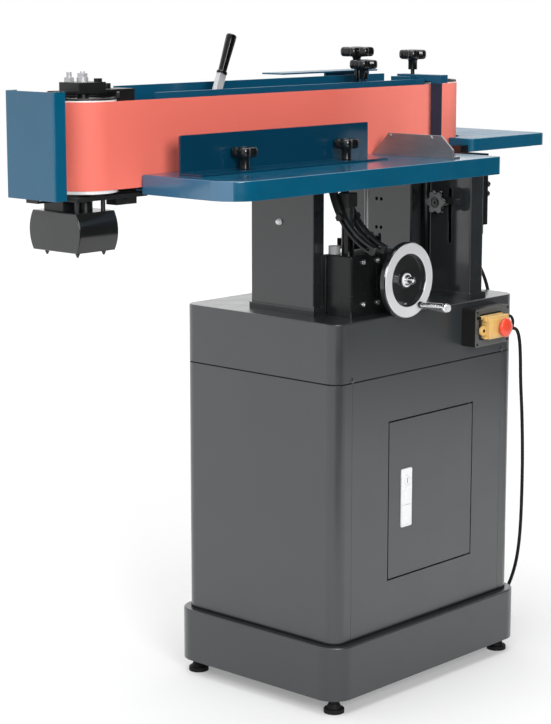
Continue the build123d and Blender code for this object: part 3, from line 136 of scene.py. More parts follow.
def coating(tree, color, rough, metal=0.0, spec=0.5, coat=0.0, coat_rough=0.06, tone=0.08,
            tone_scale=7.0, rough_swing=0.05, grain=0.05, grain_scale=700.0, grain_depth=0.0002,
            edge=None, edge_r=0.0012, stretch=None, speck=None, speck_scale=2500.0, lathe=None):
    link = tree.links.new
    shader = tree.nodes.new("ShaderNodeBsdfPrincipled")
    coords = tree.nodes.new("ShaderNodeTexCoord").outputs["Object"]
    fine_coords = coords
    if stretch:
        mapping = add(tree, "ShaderNodeMapping", Scale=stretch)
        link(coords, mapping.inputs["Vector"])
        fine_coords = mapping.outputs["Vector"]
    drift = noise(tree, coords, tone_scale)
    fine = noise(tree, fine_coords, grain_scale, 3.0)
    body = mix(tree, span(tree, drift, 0.0, 1.0), shade(color, 1 - tone), shade(color, 1 + tone))
    if stretch:
        body = mix(tree, span(tree, fine, 0.0, 0.5, 0.45, 0.75), body, shade(color, 0.72))
    if speck:
        dots = noise(tree, coords, speck_scale, 2.0)
        body = mix(tree, span(tree, dots, 0.0, 1.0, 0.56, 0.70), body, speck)
    smears = noise(tree, coords, tone_scale * 3.1, 5.0, 0.6)
    gloss = span(tree, smears, max(0.02, rough - rough_swing), rough + rough_swing)
    bevel = add(tree, "ShaderNodeBevel", samples=4, Radius=edge_r)
    if edge:
        true = tree.nodes.new("ShaderNodeNewGeometry").outputs["True Normal"]
        dot = vector_sums(tree, "DOT_PRODUCT", bevel.outputs["Normal"], true).outputs["Value"]
        rubbed = span(tree, dot, 1.0, 0.0, 0.80, 0.97)
        patch = span(tree, noise(tree, coords, 45.0, 6.0, 0.65), 0.0, 1.0, 0.50, 0.62)
        body = mix(tree, sums(tree, "MULTIPLY", rubbed, patch), body, edge)
    if lathe:
        turns = sums(tree, "SINE", sums(tree, "MULTIPLY", from_axis(tree, *lathe), LATHE_LINES))
        fine = sums(tree, "ADD", fine, sums(tree, "MULTIPLY", turns, 0.5))
    link(body, shader.inputs["Base Color"])
    link(gloss, shader.inputs["Roughness"])
    bump = add(tree, "ShaderNodeBump", Strength=grain, Distance=grain_depth)
    feed(tree, bump.inputs["Height"], fine)
    link(bevel.outputs["Normal"], bump.inputs["Normal"])
    link(bump.outputs["Normal"], shader.inputs["Normal"])
    shader.inputs["Metallic"].default_value = metal
    shader.inputs["Specular IOR Level"].default_value = spec
    shader.inputs["Coat Weight"].default_value = coat
    shader.inputs["Coat Roughness"].default_value = coat_rough
    return shader.outputs["BSDF"]


def surface(name, look, zone=None, inside=None):
    # One finish, or another one inside a zone of the object
    mat = bpy.data.materials.new(name)
    mat.use_nodes = True
    tree = mat.node_tree
    tree.nodes.clear()
    out = tree.nodes.new("ShaderNodeOutputMaterial")
    made = coating(tree, **look)
    if zone:
        blend = tree.nodes.new("ShaderNodeMixShader")
        feed(tree, blend.inputs[0], zone(tree))
        tree.links.new(made, blend.inputs[1])
        tree.links.new(coating(tree, **inside), blend.inputs[2])
        made = blend.outputs[0]
    tree.links.new(made, out.inputs["Surface"])
    return mat


# Zones that take a second finish, some of them a painted shade or sheen. Levels are in metres

WHEEL, ROUND_Y = (0.1025, 0.0, 0.822), (1.0, 0.0, 1.0)
RIM_INNER, RIM_FRONT = 0.0497, -0.1765
DRUM_RIM, GUARD_TOP, HOUSING_TOP, STUDS_BRIGHT, AXLE_BRIGHT = 1.1812, 1.1815, 0.8726, 1.15, 1.205
BOX_SCREWS = -0.1951
# Span along x over which the belt's painted sheen rises
BELT_SHEEN_SPAN = (0.05, 0.34)


def above(level):
    return lambda tree: sums(tree, "GREATER_THAN", split(tree, "Object")[2], level)


def wheel_ring(tree):
    # The rim's turned front
    outside = from_axis(tree, WHEEL, ROUND_Y)
    front = sums(tree, "LESS_THAN", split(tree, "Object")[1], RIM_FRONT)
    return sums(tree, "MULTIPLY", sums(tree, "GREATER_THAN", outside, RIM_INNER), front)


def drum_painted_shade(tree):
    # The flat ends and the top rim, darkened as painted shade
    flat = sums(tree, "GREATER_THAN", sums(tree, "ABSOLUTE", split(tree, "Normal")[2]), 0.6)
    return sums(tree, "MAXIMUM", flat, above(DRUM_RIM)(tree))


def left_faces(tree):
    # Faces that the photograph's light makes paler
    return sums(tree, "LESS_THAN", split(tree, "Normal")[0], -0.75)


def front_plate(tree):
    # The switch box's front, but not its screw heads
    facing = sums(tree, "LESS_THAN", split(tree, "Normal")[1], -0.6)
    flush = sums(tree, "GREATER_THAN", split(tree, "Object")[1], BOX_SCREWS)
    return sums(tree, "MULTIPLY", facing, flush)


def belt_painted_sheen(tree):
    # The belt is paler towards its right end: painted sheen
    return span(tree, split(tree, "Object")[0], 0.0, 1.0, *BELT_SHEEN_SPAN)


# BLUE is paler than the other blues, for the left cover's lit side: painted light
BLUE = (0.0010, 0.080, 0.155)
GRAY = (0.0260, 0.0300, 0.0325)
BLACK = (0.0085, 0.0090, 0.0092)
JET = (0.004, 0.004, 0.004)
SOOT = (0.014, 0.014, 0.015)
BLUE_EDGE, BLACK_EDGE = (0.006, 0.11, 0.20), (0.03, 0.03, 0.031)
BRUSHED = (1.0, 1.0, 0.05)
FINE_GRAIN = 1500.0

blue = dict(color=BLUE, rough=0.22, coat=0.5, coat_rough=0.13, grain=0.05, edge=BLUE_EDGE)
# Darker blue for the platen frame and rear cover: painted shade
frame_shaded_blue = dict(blue, color=(0.0012, 0.062, 0.122), rough=0.34, coat=0.15)
# Half-bright blue for the fence: painted shade
fence_shaded_blue = dict(blue, color=(0.0007, 0.036, 0.0725))
# Dark blue for the guard below its top bar, which takes the frame's blue: painted shade
guard_shaded_blue = dict(color=(0.008, 0.022, 0.043), rough=0.35, spec=0.3, grain=0.05,
                  edge=(0.03, 0.05, 0.08))
table_blue = dict(color=(0.0006, 0.076, 0.143), rough=0.22, coat=0.5, coat_rough=0.11, grain=0.03,
                  edge=BLUE_EDGE)
# Paler blue for the table's left faces: painted light
table_painted_light = dict(table_blue, color=(0.036, 0.125, 0.222), coat=0.9)
gray = dict(color=GRAY, rough=0.34, coat=0.66, coat_rough=0.24, tone=0.05, grain=0.06,
            grain_scale=900.0, edge=(0.06, 0.066, 0.07))
# The columns take the cabinet gray darkened, to half here and to 0.85 for the right column: painted
# shade under the tables
column = dict(gray, color=shade(GRAY, 0.5), rough=0.16, coat_rough=0.08)
black_gloss = dict(color=BLACK, rough=0.18, coat=0.35, tone=0.2, grain=0.05, edge=BLACK_EDGE)
black_cast = dict(color=BLACK, rough=0.34, spec=0.4, tone=0.25, grain=0.22, grain_scale=420.0,
                  edge=BLACK_EDGE)
turned = dict(color=(0.62, 0.62, 0.63), rough=0.42, metal=0.15, tone=0.04, grain=0.25,
              lathe=(WHEEL, ROUND_Y))
steel = dict(color=(0.62, 0.63, 0.64), rough=0.26, metal=0.9, tone=0.10, grain=0.10,
             stretch=BRUSHED)
# Dark below a level, steel above it, for the idler's studs and the idle axle
dark_below = dict(color=SOOT, rough=0.35, tone=0.2, grain=0.15)
stud_steel = dict(steel, color=(0.46, 0.46, 0.47), rough=0.40, metal=0.35)
white_face = dict(color=(0.80, 0.80, 0.79), rough=0.40, metal=0.1, tone=0.05, grain=0.08)
# Dark colour of the drums' ends and top rim: painted shade
drum_shade_look = dict(color=SOOT, rough=0.5, metal=0.2, tone=0.2, grain=0.2)
belt = dict(color=(0.755, 0.144, 0.104), rough=0.62, spec=0.5, tone=0.03, tone_scale=5.0,
            grain=0.45, grain_scale=2600.0, grain_depth=0.0004, speck=(0.84, 0.23, 0.175),
            speck_scale=3200.0)
moulded = dict(rough=0.30, tone=0.06, grain_scale=FINE_GRAIN)
box_side = dict(color=(0.008, 0.008, 0.008), rough=0.45, spec=0.3, tone=0.2, grain=0.2,
                grain_scale=FINE_GRAIN)
box_front = dict(color=(0.086, 0.088, 0.087), rough=0.42, tone=0.08, grain=0.16,
                 grain_scale=FINE_GRAIN)

M = {
    # The left cover in the paler blue: painted light
    "blue": surface("blue_enamel", blue),
    "fence_shaded_blue": surface("fence_enamel", fence_shaded_blue),
    "guard": surface("guard_enamel", guard_shaded_blue, above(GUARD_TOP), frame_shaded_blue),
    # The table's left faces take the paler blue: painted light
    "table": surface("table_enamel", table_blue, left_faces, table_painted_light),
    "end_table": surface("end_table_enamel", dict(table_blue, rough=0.30, spec=0.3, coat=0.0)),
    "frame": surface("frame_enamel", frame_shaded_blue),
    "gray": surface("gray_enamel", gray),
    # The skirt takes the cabinet gray darkened to 0.85: painted shade near the floor
    "skirt": surface("skirt_enamel", dict(gray, color=shade(GRAY, 0.85), coat=0.48)),
    # Darkened copies of the cabinet gray: painted shade
    "column": surface("column_enamel", column),
    "end_column": surface("end_column_enamel", dict(column, color=shade(GRAY, 0.85))),
    "black_cast": surface("black_casting", black_cast),
    "housing": surface("housing_casting", dict(black_cast, rough=0.26, spec=0.3),
                       above(HOUSING_TOP), dict(turned, color=(0.27, 0.27, 0.275))),
    "black_gloss": surface("black_enamel", black_gloss),
    # The gearbox's left faces take a paler black: painted light
    "gearbox": surface("gearbox_enamel", dict(black_gloss, coat=0.12), left_faces,
                       dict(black_gloss, color=(0.026, 0.027, 0.028))),
    "post": surface("post_enamel", dict(
        color=JET, rough=0.14, spec=0.35, tone=0.2, grain=0.04)),
    "screw": surface("dull_steel", dict(
        color=(0.30, 0.30, 0.31), rough=0.38, metal=0.7, tone=0.12, grain=0.15)),
    "black_plastic": surface("black_plastic", dict(
        color=(0.006, 0.006, 0.006), rough=0.15, spec=0.42, coat=0.15, tone=0.2, grain=0.10,
        grain_scale=900.0)),
    "face": surface("worn_plastic", dict(
        color=(0.15, 0.152, 0.155), rough=0.35, tone=0.15, grain=0.15)),
    "grip": surface("moulded_grip", dict(
        color=JET, rough=0.13, spec=0.28, tone=0.2, grain=0.08)),
    "tongue": surface("bright_bar", dict(
        color=(0.56, 0.56, 0.57), rough=0.42, metal=0.25, tone=0.06, grain=0.10, stretch=BRUSHED)),
    "box": surface("switch_box", box_side, front_plate, box_front),
    "rubber": surface("black_rubber", dict(
        color=(0.0085, 0.0085, 0.0085), rough=0.60, spec=0.15, tone=0.25, grain=0.30,
        grain_scale=1100.0)),
    "steel": surface("bright_steel", steel),
    "studs": surface("studs_dark_below", dark_below, above(STUDS_BRIGHT), stud_steel),
    "axle": surface("axle_dark_below", dark_below, above(AXLE_BRIGHT), stud_steel),
    "chrome": surface("chromed_steel", dict(
        color=(0.82, 0.83, 0.84), rough=0.10, metal=1.0, tone=0.04, grain=0.03, rough_swing=0.03)),
    "stop_plate": surface("brushed_plate", dict(
        color=(0.42, 0.41, 0.42), rough=0.36, metal=0.9, tone=0.08, grain=0.12,
        stretch=(1.0, 0.04, 1.0))),
    "wheel": surface("wheel_enamel", dict(
        black_gloss, color=(0.016, 0.0165, 0.017), rough=0.16, grain=0.3, grain_scale=420.0),
        wheel_ring, turned),
    "drum": surface("drum_face", white_face, drum_painted_shade, drum_shade_look),
    # The belt's paler right end is painted sheen
    "belt": surface("abrasive_belt", belt, belt_painted_sheen, dict(belt, color=(0.95, 0.236, 0.184))),
    "graphite": surface("graphite_canvas", dict(
        color=(0.03, 0.03, 0.032), rough=0.5, tone=0.2, grain=0.5, grain_scale=1800.0)),
    "yellow": surface("yellow_plastic", dict(
        moulded, color=(0.66, 0.415, 0.138), tone=0.05, grain=0.08)),
    "red": surface("red_plastic", dict(
        moulded, color=(0.78, 0.066, 0.032), rough=0.26, coat=0.2, grain=0.06)),
    "green": surface("green_plastic", dict(moulded, color=(0.02, 0.32, 0.09), grain=0.10)),
    "zinc": surface("zinc_plate", dict(
        color=(0.80, 0.815, 0.83), rough=0.26, metal=0.1, tone=0.03, grain=0.06)),
}

LOOKS = {
    "blue": ["left_end_cover"],
    "frame": ["platen_frame", "rear_cover"],
    "fence_shaded_blue": ["fence"],
    "guard": ["edge_guard"],
    "table": ["main_table"],
    "end_table": ["end_table"],
    "skirt": ["base_skirt"],
    "gray": ["cabinet_shell", "front_panel", "top_box", "cabinet_door"],
    "column": ["left_column", "mid_column"],
    "end_column": ["right_column"],
    "black_cast": ["idler_bracket", "lift_saddle", "table_trunnions"],
    "housing": ["lift_housing"],
    "gearbox": ["gearbox_cover"],
    "black_gloss": ["drive_motor", "end_table_arm"],
    "post": ["lift_post"],
    "screw": ["lead_screw"],
    "box": ["switch_box"],
    "rubber": ["leveling_feet", "cable_glands"],
    "axle": ["idle_axle"],
    "steel": ["idle_bearings", "oscillation_cam"],
    "tongue": ["tension_lever"],
    "studs": ["idler_fasteners"],
    "chrome": ["handwheel_shaft"],
    "stop_plate": ["work_stop"],
    "wheel": ["handwheel"],
    "drum": ["idle_drum", "drive_drum"],
    "belt": ["sanding_belt"],
    "graphite": ["platen_pad"],
    "green": ["start_button"],
    "zinc": ["latch_plate", "latch_paddle"],
}
for look, names in LOOKS.items():
    for name in names:
        for place in nodes[name].material_slots:
            place.material = M[look]


# Mesh helpers. Lengths are in millimetres in the part's frame

def angles(count):
    return [2 * math.pi * n / count for n in range(count)]


def reach(shape, a):
    # Distance from the axis at an angle: a circle's radius, a hexagon, lobes or a rounded box
    if not isinstance(shape, tuple):
        return shape
    if shape[0] == "hex":
        return shape[1] * math.cos(math.pi / 6) / math.cos(a % (math.pi / 3) - math.pi / 6)
    if shape[0] == "lobe":
        r, count, depth = shape[1:]
        return r * (1 - depth * (0.5 - 0.5 * math.cos(count * a)) ** 1.4)
    half_u, half_v, power = shape[1:]
    return (abs(math.cos(a) / half_u) ** power + abs(math.sin(a) / half_v) ** power) ** (-1 / power)


def skin(bm, loops, looks, closed=False):
    # Faces between rings of points, with a cap at each end unless the last ring meets the first
    rows = [[bm.verts.new(Vector(p) * MM) for p in loop] for loop in loops]
    count = len(rows[0])
    pairs = list(zip(rows, rows[1:], looks))
    if closed:
        pairs.append((rows[-1], rows[0], looks[-1]))
    for one, two, look in pairs:
        for k in range(count):
            n = (k + 1) % count
            bm.faces.new((one[k], one[n], two[n], two[k])).material_index = look
    if not closed:
        bm.faces.new(rows[0]).material_index = looks[0]
        bm.faces.new(rows[-1]).material_index = looks[-1]


def turn(bm, origin, axis, rings, across=EAST, count=48):
    # Rings round an axis: each a height, a shape and the material of the band after it
    up = Vector(axis).normalized()
    u = Vector(across)
    u = (u - up * u.dot(up)).normalized()
    v = up.cross(u)
    loops = []
    for height, shape, *_ in rings:
        loop = []
        for a in angles(count):
            r = reach(shape, a)
            middle = Vector(origin) + up * height
            loop.append(middle + u * (r * math.cos(a)) + v * (r * math.sin(a)))
        loops.append(loop)
    skin(bm, loops, [ring[2] if len(ring) > 2 else 0 for ring in rings])


def hoop(bm, point, sections, count):
    # A closed ring: point takes one section's values and an angle
    loops = [[point(*section, a) for a in angles(count)] for section in sections]
    skin(bm, loops, [0] * len(loops), closed=True)


def block(bm, x, y, z, r=1.0, steps=3, look=0):
    before = set(bm.faces)
    corners = bmesh.ops.create_cube(bm, size=1.0)["verts"]
    for v in corners:
        spots = [low + (v.co[k] + 0.5) * (high - low) for k, (low, high) in enumerate((x, y, z))]
        v.co = Vector(spots) * MM
    edges = list({e for v in corners for e in v.link_edges})
    bmesh.ops.bevel(bm, geom=edges, offset=r * MM, segments=steps, profile=0.5, affect="EDGES")
    for face in set(bm.faces) - before:
        face.material_index = look


def piece(name, bm, looks, body, stands_for=(), angle=32):
    bmesh.ops.recalc_face_normals(bm, faces=bm.faces)
    mesh = bpy.data.meshes.new(name)
    bm.to_mesh(mesh)
    bm.free()
    for look in looks:
        mesh.materials.append(M[look])
    mesh.shade_smooth()
    mesh.set_sharp_from_angle(angle=math.radians(angle))
    obj = bpy.data.objects.new(name, mesh)
    scene.collection.objects.link(obj)
    if stands_for:
        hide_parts(*stands_for)
    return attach(obj, body)


# Star knobs: a stud, a stem and a moulded head of rounded lobes with a capped insert

LOBE_DEPTH, CHAMFER = 0.26, 0.8
# Up the head's side: shares of its height, of its radius and of the lobes' depth
HEAD_SIDE = (
    (0.0, 0.86, 0.9), (0.08, 0.93, 1.0), (0.20, 0.98, 1.0), (0.36, 1.0, 1.0), (0.66, 1.0, 1.0),
    (0.82, 0.98, 1.0), (0.94, 0.94, 1.0),
)


def knob(name, node, body, seat, axis, across, head, stem, stud, lobes, insert=False):
    # Head: width and height. Stem: radius and length. Stud: radius, length above and below the seat
    head_d, head_h = head
    stem_r, stem_h = stem
    stud_r, stud_up, stud_down = stud
    low = stud_up + stem_h
    top = low + head_h
    r = head_d / 2

    def lobed(scale, share=1.0):
        return ("lobe", r * scale, lobes, LOBE_DEPTH * share)

    rings = [
        (-stud_down, stud_r - CHAMFER, 1), (-stud_down + CHAMFER, stud_r, 1), (stud_up, stud_r),
        (stud_up, stem_r - CHAMFER), (stud_up + CHAMFER, stem_r), (low - 4, stem_r),
        (low - 1.2, stem_r + 1.8),
    ]
    rings += [(low + up * head_h, lobed(scale, share)) for up, scale, share in HEAD_SIDE]
    face = 2 if insert else 0
    rings += [(top, lobed(0.87), face), (top + 0.4, lobed(0.76), face),
              (top + 0.6, lobed(0.60, 0.7), face)]
    if insert:
        rings += [(top + 0.6, 0.42 * r), (top - 0.6, 0.40 * r), (top - 0.6, ("hex", 0.26 * r), 1),
                  (top + 1.4, ("hex", 0.26 * r), 1), (top + 1.4, 0.12 * r), (top - 1.5, 0.12 * r)]
    else:
        rings += [(top + 0.7, 0.34 * r), (top + 0.1, 0.32 * r), (top + 0.1, 0.20 * r)]
    bm = bmesh.new()
    turn(bm, seat, axis, rings, across, (24 if lobes < 6 else 18) * lobes)
    looks = ["black_plastic", "black_gloss", "face"]
    return piece(name, bm, looks, body, (node,), 42)


for side, x in (("left", -282.4), ("right", -7.7)):
    knob("fence_knob_%s_moulded" % side, "fence_knob_" + side, "fence_clamp_" + side,
         (x, -112, 1054.4), UP, (0.677, -0.736, 0),
         head=(46, 17), stem=(9, 21), stud=(4, 0, 30), lobes=4)
knob("tracking_knob_moulded", "tracking_knob", "tracking", (205, 45, 1150.2), UP, EAST,
     head=(68, 18), stem=(8, 20), stud=(5, 66, 18), lobes=7)
knob("lock_knob_moulded", "tracking_lock_knob", "tracking_lock", (185, 10, 1150.2), UP, EAST,
     head=(56, 17), stem=(8.5, 20), stud=(4, 43, 18), lobes=5)
knob("guard_knob_moulded", "edge_guard_knob", "guard_knob", (345, 16, 1198.2), UP, EAST,
     head=(56, 18), stem=(9.2, 21), stud=(4, 9, 17), lobes=5)
knob("end_knob_moulded", "end_table_knob", "end_clamp", (336.8, -89.5, 950), WEST, BACK,
     head=(52, 17), stem=(9, 30), stud=(4, 0, 54), lobes=6, insert=True)


# Lever grip: a fluted handle with a collar, on the leaning tongue

def fluted(r, depth):
    return ("lobe", r, 8, depth)


LEAN = math.radians(21.5)
LEVER_WAY = Vector((math.sin(LEAN), 0, math.cos(LEAN)))
LEVER_FOOT, GRIP_START = Vector((-216, 29, 1160)), 58
bm = bmesh.new()
turn(bm, LEVER_FOOT + LEVER_WAY * GRIP_START, LEVER_WAY, [
    (0, 9.0), (0.8, 10.0), (4.2, 10.0), (5.2, 9.2), (6.0, fluted(7.7, 0.05)),
    (30, fluted(8.3, 0.06)), (64, fluted(9.6, 0.07)), (72, fluted(9.8, 0.06)),
    (74.1, fluted(9.4, 0.04)), (75.2, 8.1), (75.2, 4.0),
], count=96)
piece("lever_grip_moulded", bm, ["grip"], "lever", ("lever_grip",), 50)

# Stop button: a domed mushroom
bm = bmesh.new()
turn(bm, (347, -215, 707), FRONT, [
    (0, 10), (1.7, 10), (1.7, 8), (9.5, 8), (9.5, 17.8), (10.2, 18.8), (11.2, 19), (12.6, 19),
    (14.2, 18.4), (15.6, 17.0), (16.8, 14.4), (17.5, 11), (17.9, 7), (18, 3),
], count=64)
piece("stop_button_dome", bm, ["red"], "stop", ("stop_button",), 40)

# Switch flap: a box lid with a raised face, a rounded padlock lug at its left end, a hinge barrel
bm = bmesh.new()
block(bm, (308, 371), (-217, -195), (686, 731), 2.5)
block(bm, (312, 368), (-219, -216), (690, 726), 1.4)
block(bm, (301, 310), (-212, -204), (722, 731), 1.6)
block(bm, (302, 310), (-212, -204), (686.5, 691), 1.6)
# The lug's hole is lined black: painted shade in the hole
turn(bm, (303, -200, 703), FRONT, [
    (0, 9.0), (0.8, 9.8), (5.2, 9.8), (6.2, 8.8), (6.2, 3.5, 1), (3, 3.5, 1), (2, 3.3, 1),
])
turn(bm, (297.5, -199, 728), EAST, [
    (0, 1.5), (1.5, 1.5), (1.5, 4), (71.5, 4), (71.5, 1.5), (75, 1.5),
], UP, 24)
piece("switch_flap_moulded", bm, ["yellow", "rubber"], "flap", ("switch_cover",))


# Bezel: a black frame round the flap, on the switch box

BEZEL_X, BEZEL_Z = 338.5, 708.5


def bezel_point(y, half_x, half_z, a):
    r = reach(("box", half_x, half_z, 12), a)
    return BEZEL_X + r * math.cos(a), y, BEZEL_Z + r * math.sin(a)


bm = bmesh.new()
hoop(bm, bezel_point, (
    (-194, 37, 26), (-195.2, 37, 26), (-195.7, 36.5, 25.5), (-195.7, 33.2, 23.4),
    (-194, 33.2, 23.4),
), 80)
piece("switch_bezel", bm, ["rubber"], "stand")

# Cable bushing on the switch box, ribbed and tapered
bm = bmesh.new()
ribs = [(0, 7.4)]
for k in range(7):
    r = 6.9 - 0.3 * k
    ribs += [(3 * k + 0.4, r), (3 * k + 1.6, r), (3 * k + 1.9, r - 0.9), (3 * k + 3.0, r - 0.9)]
turn(bm, (407.5, -179.5, 690), EAST, ribs + [(22, 4.4), (22, 3.6)], UP, 32)
piece("mains_bushing", bm, ["rubber"], "stand")


# Tension spring with a seat at each end

ROD_Y, ROD_Z = 29, 1158
SPRING_X, SPRING_LONG, SPRING_TURNS, TURN_STEPS = -425.5, 74.0, 8, 20
SPRING_R, WIRE_R = 12.5, 2.0
RISE = SPRING_LONG / SPRING_TURNS / (2 * math.pi)


def seat_point(x, r, a):
    return x, ROD_Y + r * math.cos(a), ROD_Z + r * math.sin(a)


bm = bmesh.new()
loops = []
for k in range(SPRING_TURNS * TURN_STEPS + 1):
    a = 2 * math.pi * k / TURN_STEPS
    x = SPRING_X + SPRING_LONG * k / (SPRING_TURNS * TURN_STEPS)
    out = Vector((0, math.cos(a), math.sin(a)))
    way = Vector((RISE, -SPRING_R * math.sin(a), SPRING_R * math.cos(a))).normalized()
    side = way.cross(out)
    centre = Vector((x, ROD_Y, ROD_Z)) + out * SPRING_R
    loops.append([centre + out * (WIRE_R * math.cos(b)) + side * (WIRE_R * math.sin(b))
                  for b in angles(10)])
skin(bm, loops, [0] * len(loops))
for low, high in ((-432.0, -427.5), (-349.5, -345.0)):
    hoop(bm, seat_point, (
        (low, 14.0), (low + 0.5, 14.5), (high - 0.5, 14.5), (high, 14.0), (high, 7.4), (low, 7.4),
    ), 40)
spring = piece("tension_spring_wire", bm, ["steel"], "stand", ("tension_spring",))
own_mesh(spring)

# Crank handle: a chromed pear on a black ball
bm = bmesh.new()
turn(bm, (131.0, -178.5, 772.636), FRONT, [
    (0, 4.6, 1), (1.2, 5.8, 1), (3.6, 6.6, 1), (6.0, 6.2, 1), (7.4, 5.2), (8.4, 5.0), (16, 5.4),
    (32, 6.7), (48, 8.2), (58, 9.0), (63, 9.3), (66.4, 8.9), (68.6, 7.6), (69.0, 5.4), (68.2, 5.0),
    (68.2, 3.4), (70.5, 3.0), (71.2, 1.6),
], count=40)
looks = ["chrome", "black_gloss"]
piece("crank_handle_turned", bm, looks, "crank", ("crank_handle",), 40)

# The wheel's washer and cap nut
bm = bmesh.new()
turn(bm, (102.5, -169.5, 822), FRONT, [
    (-0.5, 13.4), (2.6, 13.4), (3.4, 12.6), (3.4, 10.2, 1), (1.2, 9.8, 1), (1.2, ("hex", 7.0)),
    (9.6, ("hex", 7.0)), (10.4, 6.0), (13.4, 5.8), (16.0, 4.8), (17.4, 3.2), (18.0, 1.2),
])
piece("hub_nut", bm, ["zinc", "black_gloss"], "wheel")

# Screws: a cap nut on the left column, socket screws on the lift housing and painted screws
# beside the door panel
bm = bmesh.new()
turn(bm, (-30.6, 35, 929), WEST, [
    (0, 6.0, 2), (1.4, 6.0, 2), (1.4, ("hex", 5.6), 2), (5.6, ("hex", 5.6), 2), (6.0, 4.8, 2),
    (7.8, 3.9, 2), (8.8, 2.4, 2), (9.0, 0.9, 2),
], UP)
for x in (31, 72.5):
    for z in (778, 859):
        turn(bm, (x, -121.5, z), FRONT, [
            (0, 5.0), (3.4, 5.0), (4.0, 4.4), (4.0, ("hex", 2.9)), (1.6, ("hex", 2.9)),
        ], count=36)
for x in (-42.5, 424.5):
    turn(bm, (x, -160, 646), FRONT, [
        (0, 4.8, 1), (0.9, 4.8, 1), (1.8, 3.6, 1), (2.0, 2.2, 1), (2.0, ("hex", 1.9), 1),
        (1.0, ("hex", 1.9), 1),
    ], count=36)
piece("stand_screws", bm, ["steel", "gray", "zinc"], "stand", ("column_bolts",))

# Spacer that packs the lift housing off the left column
bm = bmesh.new()
block(bm, (-2.8, 16), (-58.6, -51.8), (760.6, 868), 0.8, 2)
block(bm, (-2.8, 16), (-57.4, -52.4), (867, 871), 0.8, 2)
piece("housing_spacer", bm, ["black_cast"], "stand")

# Idler shroud: a curved lip that hangs from the bracket's arm behind the drum, and a small block
# on the arm
DRUM_MIDDLE = Vector((-535.2, 29, 0))
LIP_START, LIP_STEP, LIP_COUNT = -60, 5.5, 46
LIP = (
    (59.8, 1185.2), (60.4, 1184.6), (62.4, 1184.6), (63.0, 1185.2), (63.0, 1193.5), (59.8, 1193.5),
)
bm = bmesh.new()
loops = []
for n in range(LIP_COUNT):
    a = math.radians(LIP_START + LIP_STEP * n)
    out = Vector((math.cos(a), math.sin(a), 0))
    loops.append([DRUM_MIDDLE + out * r + Vector((0, 0, z)) for r, z in LIP])
skin(bm, loops, [0] * len(loops))
block(bm, (-471, -461), (38, 48.5), (1196, 1206), 1.0)
piece("idler_shroud", bm, ["black_cast"], "carriage")

# End arm: a cap screw and a hexagon nut on its outer side
bm = bmesh.new()
turn(bm, (391.8, -136, 963), EAST, [
    (0, 7.4), (2, 7.6), (2.6, 5.6), (9, 5.6), (10.4, 4.6), (10.4, ("hex", 3.2)), (7, ("hex", 3.2)),
], UP, 36)
turn(bm, (391.8, -135, 982), EAST, [
    (0, 9.2), (1.6, 9.2), (1.6, ("hex", 8.0)), (8, ("hex", 8.0)), (8.6, 6.4), (8.6, 4.2),
    (14, 4.0), (14.8, 3.2),
], UP, 36)
piece("end_arm_bolts", bm, ["black_plastic"], "end_table")

# Latch: a key cylinder with its slot drawn as a black bar, which is painted shade in the keyway
bm = bmesh.new()
turn(bm, (120.5, -163.7, 426), FRONT, [
    (0, 8.4), (0.7, 8.2), (1.1, 7.4), (1.1, 6.6), (0.5, 6.4), (0.6, 3.0),
])
block(bm, (119.8, 121.2), (-164.6, -163.9), (421.5, 430.5), 0.2, 1, 1)
piece("latch_key", bm, ["zinc", "rubber"], "door")


# Foam strips in the cabinet's two joints; their black also stands for the shade in the gaps:
# painted shade

CABINET_X, CABINET_Y, CORNER_X, CORNER_Y = 191, 40, 252, 174
CORNER_R, CORNER_STEPS = 26, 8


def strip(bm, grow, inner, z):
    loops = []
    for level, out in ((z[0], grow), (z[1], grow), (z[1], inner), (z[0], inner)):
        r = CORNER_R + out
        loop = []
        for k, (u, v) in enumerate(((1, 1), (-1, 1), (-1, -1), (1, -1))):
            for n in range(CORNER_STEPS + 1):
                a = math.pi / 2 * (k + n / CORNER_STEPS)
                loop.append((CABINET_X + u * CORNER_X + r * math.cos(a),
                             CABINET_Y + v * CORNER_Y + r * math.sin(a), level))
        loops.append(loop)
    skin(bm, loops, [0] * len(loops), closed=True)


bm = bmesh.new()
strip(bm, 0.9, -1.0, (136.0, 140.5))
strip(bm, -1.1, -2.1, (640.1, 642.5))
piece("joint_strips", bm, ["rubber"], "stand")


# Cord tie: a flat strap round the coil with a buckle

STRAP_Y, STRAP_Z = 98.46, 8.95


def strap_point(x, half_y, half_z, a):
    r = reach(("box", half_y, half_z, 5), a)
    return x, STRAP_Y + r * math.cos(a), STRAP_Z + r * math.sin(a)


bm = bmesh.new()
hoop(bm, strap_point, (
    (584, 15.06, 8.95), (596, 15.06, 8.95), (596, 13.7, 7.6), (584, 13.7, 7.6),
), 64)
block(bm, (582, 598), (93, 103), (17.2, 20.0), 0.9, 2)
tie = piece("cord_tie_strap", bm, ["rubber"], "stand", ("cord_tie",))

